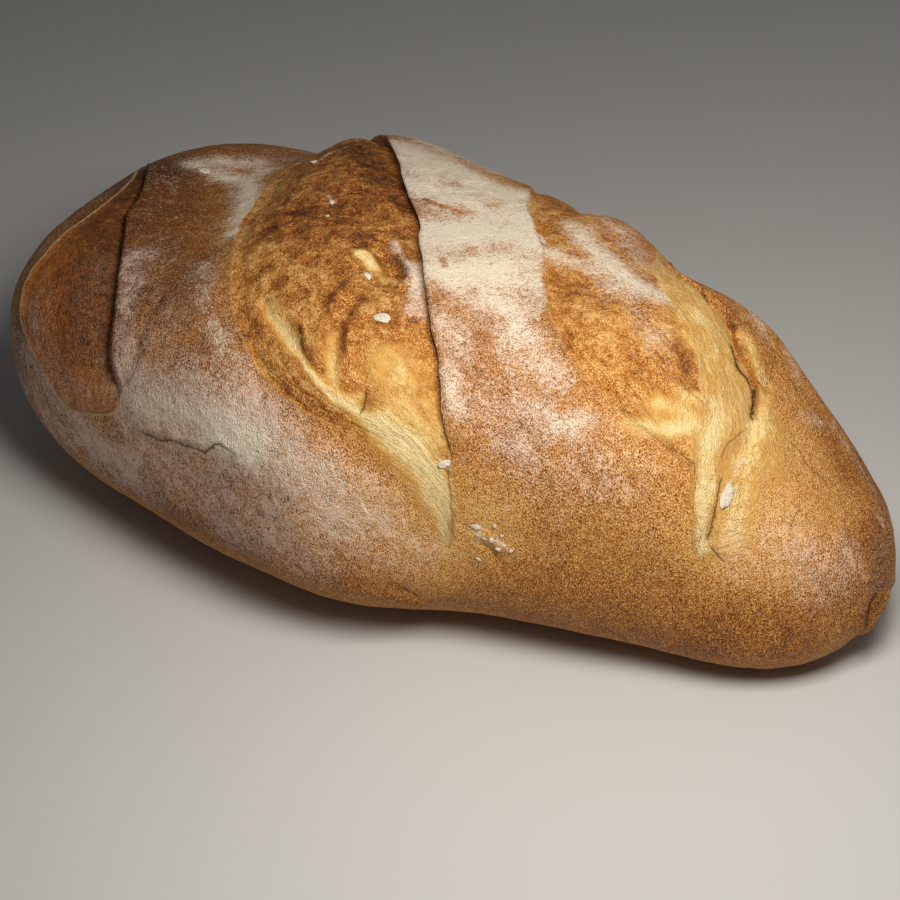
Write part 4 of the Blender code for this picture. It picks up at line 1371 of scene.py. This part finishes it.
def clump_material(colour):
    """Clumped flour: matte, with a powdery bump and faint painted shade in the bump's hollows."""
    material, nodes, shader = new_material("flour clumps", 0.15)
    powder = nodes.line(nodes.noise(nodes.place(), 1800, 3.0, 0.6), 0.3, 0.7)
    # Painted shade: darker where the bump is low
    tone = nodes.mix(powder, (*[0.72 * c for c in colour], 1.0), (*[min(1.08 * c, 1.0) for c in colour], 1.0))
    rough = nodes.line(powder, 0.0, 1.0, 0.8, 0.95)
    bump = nodes.add("ShaderNodeBump", {"Strength": 1.0, "Distance": 0.0003, "Height": powder})
    nodes.give(shader, **{"Base Color": tone, "Roughness": rough, "Normal": bump})
    return material


def floor_material(colour):
    """Matte pale floor with a faint unevenness."""
    material, nodes, shader = new_material("floor", 0.2)
    cloud = nodes.line(nodes.noise(nodes.place(), 3.0, 3.0), 0.3, 0.7)
    tone = nodes.mix(cloud, (*[0.97 * c for c in colour], 1.0), (*colour, 1.0))
    nodes.give(shader, **{"Base Color": tone, "Roughness": 0.85})
    return material


class LoafSizes(bpy.types.PropertyGroup):
    """Sizes of the loaf's fine relief."""

    rows: IntProperty(name="Rows", description="Rows round the loaf", default=290, min=60, max=290)
    crag_height: FloatProperty(
        name="Crag height", description="Height of the crags on the cut faces", default=0.0006, unit="LENGTH"
    )
    strand_height: FloatProperty(
        name="Strand height", description="Height of the torn strands", default=0.00045, unit="LENGTH"
    )
    pimple_height: FloatProperty(
        name="Pimple height",
        description="Height of the crust's small pimples",
        default=0.00012,
        unit="LENGTH",
    )


class LoafColours(bpy.types.PropertyGroup):
    """Colours of the crust."""

    bake: FloatProperty(name="Bake", description="How dark the loaf is baked", default=0.45, min=0.0, max=1.0)
    flour: FloatVectorProperty(
        name="Flour", description="Colour of thick flour", default=(0.97, 0.85, 0.67), subtype="COLOR"
    )
    film: FloatVectorProperty(
        name="Film",
        description="Colour of a soft film of flour",
        default=(0.94, 0.72, 0.605),
        subtype="COLOR",
    )
    thin_flour: FloatVectorProperty(
        name="Thin flour", description="Colour of a thin dusting", default=(0.89, 0.68, 0.53), subtype="COLOR"
    )
    clumps: FloatVectorProperty(
        name="Clumps",
        description="Colour of the clumps of flour",
        default=(0.90, 0.79, 0.64),
        subtype="COLOR",
    )
    # Painted highlight along the thin rims of the cuts
    rim: FloatVectorProperty(
        name="Rim",
        description="Colour of the thin rims of the cuts",
        default=(0.72, 0.47, 0.24),
        subtype="COLOR",
    )


class StageSettings(bpy.types.PropertyGroup):
    """Floor, lights and camera."""

    floor: FloatVectorProperty(
        name="Floor", description="Colour of the floor", default=(0.60, 0.595, 0.585), subtype="COLOR"
    )
    key_power: FloatProperty(
        name="Key light",
        description="Power of the large key light",
        default=1.41,
        unit="POWER",
    )
    fill_power: FloatProperty(
        name="Fill light",
        description="Power of the soft fill light",
        default=0.2,
        unit="POWER",
    )
    sky: FloatProperty(name="Sky", description="Strength of the even light from all round", default=0.07)
    lens: FloatProperty(name="Lens", description="Focal length of the camera in millimetres", default=89.8)


class BREAD_OT_loaf(bpy.types.Operator):
    """Build the loaf's fine skin over its solid"""

    bl_idname = "bread.loaf"
    bl_label = "Build Loaf"

    def execute(self, context):
        points, masks = loaf_grid(context.scene.loaf_sizes)
        mesh = skin_mesh("loaf_crust", points, masks)
        material = crust_material(context.scene.loaf_colours, grain_group(), flour_group())
        piece = put("loaf_crust", mesh, material)
        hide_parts("loaf")
        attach(piece, "root")
        return {"FINISHED"}


class BREAD_OT_clumps(bpy.types.Operator):
    """Lay the clumps of flour on the crust"""

    bl_idname = "bread.clumps"
    bl_label = "Build Flour Clumps"

    def execute(self, context):
        mesh = clumps_mesh("flour_clumps", bpy.data.objects["loaf_crust"])
        piece = put("flour_clumps", mesh, clump_material(context.scene.loaf_colours.clumps))
        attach(piece, "root")
        return {"FINISHED"}


class BREAD_OT_stage(bpy.types.Operator):
    """Build the floor, the lights and the camera"""

    bl_idname = "bread.stage"
    bl_label = "Build Stage"

    def execute(self, context):
        settings = context.scene.loaf_stage
        mesh = bpy.data.meshes.new("floor")
        corners = [(x * FLOOR_HALF, y * FLOOR_HALF, 0) for x, y in ((-1, -1), (1, -1), (1, 1), (-1, 1))]
        mesh.from_pydata(corners, [], [(0, 1, 2, 3)])
        put("floor", mesh, floor_material(settings.floor))
        self.light("key", *KEY_LIGHT, settings.key_power)
        self.light("rim", *RIM_LIGHT, settings.fill_power)
        world = bpy.data.worlds.new("studio")
        context.scene.world = world
        world.use_nodes = True
        background = world.node_tree.nodes["Background"].inputs
        background["Color"].default_value = SKY_COLOUR
        background["Strength"].default_value = settings.sky
        self.camera(context, settings.lens)
        context.scene.view_settings.view_transform = "Standard"
        return {"FINISHED"}

    def light(self, name, place, size, colour, power):
        """Square area light that faces the loaf's middle."""
        lamp = bpy.data.lights.new(name, "AREA")
        lamp.size = size
        lamp.energy = power
        lamp.color = colour
        aim = Vector(LIGHT_AIM) - Vector(place)
        turn = aim.to_track_quat("-Z", "Y").to_matrix().to_4x4()
        self.stand(name, lamp, Matrix.Translation(place) @ turn)

    def camera(self, context, lens):
        """Camera at the photograph's viewing angle."""
        azimuth, elevation, roll = (radians(a) for a in (CAMERA_AZIMUTH, CAMERA_ELEVATION, CAMERA_ROLL))
        back = Vector((sin(azimuth) * cos(elevation), -cos(azimuth) * cos(elevation), sin(elevation)))
        right = Vector((cos(azimuth), sin(azimuth), 0.0))
        up = back.cross(right)
        target = Vector((-MIDDLE[0], -MIDDLE[1], CAMERA_TARGET_HEIGHT))
        target = target + right * CAMERA_ASIDE[0] + up * CAMERA_ASIDE[1]
        turned = right * cos(roll) + up * sin(roll)
        upright = up * cos(roll) - right * sin(roll)
        pose = Matrix((turned, upright, back)).transposed().to_4x4()
        pose.translation = target + back * CAMERA_DISTANCE
        camera = bpy.data.cameras.new("camera")
        camera.lens = lens
        context.scene.camera = self.stand("camera", camera, pose)

    def stand(self, name, data, pose):
        """Object of the light or camera in the scene, at the pose."""
        holder = bpy.data.objects.new(name, data)
        holder.matrix_world = pose
        bpy.context.scene.collection.objects.link(holder)
        return holder


class BREAD_PT_panel(bpy.types.Panel):
    """Lists the loaf's operators"""

    bl_label = "Bread Loaf"
    bl_idname = "BREAD_PT_panel"
    bl_space_type = "VIEW_3D"
    bl_region_type = "UI"
    bl_category = "Bread Loaf"

    def draw(self, context):
        layout = self.layout
        for group in (context.scene.loaf_sizes, context.scene.loaf_colours, context.scene.loaf_stage):
            for key in group.__annotations__:
                layout.prop(group, key)
        layout.operator("bread.loaf")
        layout.operator("bread.clumps")
        layout.operator("bread.stage")


CLASSES = (
    LoafSizes, LoafColours, StageSettings, BREAD_OT_loaf, BREAD_OT_clumps, BREAD_OT_stage, BREAD_PT_panel,
)


def register():
    for kind in CLASSES:
        bpy.utils.register_class(kind)
    bpy.types.Scene.loaf_sizes = PointerProperty(type=LoafSizes)
    bpy.types.Scene.loaf_colours = PointerProperty(type=LoafColours)
    bpy.types.Scene.loaf_stage = PointerProperty(type=StageSettings)


def unregister():
    del bpy.types.Scene.loaf_stage
    del bpy.types.Scene.loaf_colours
    del bpy.types.Scene.loaf_sizes
    for kind in reversed(CLASSES):
        bpy.utils.unregister_class(kind)


def main():
    register()
    bpy.ops.bread.stage()
    bpy.ops.bread.loaf()
    bpy.ops.bread.clumps()


if __name__ == "__main__":
    main()
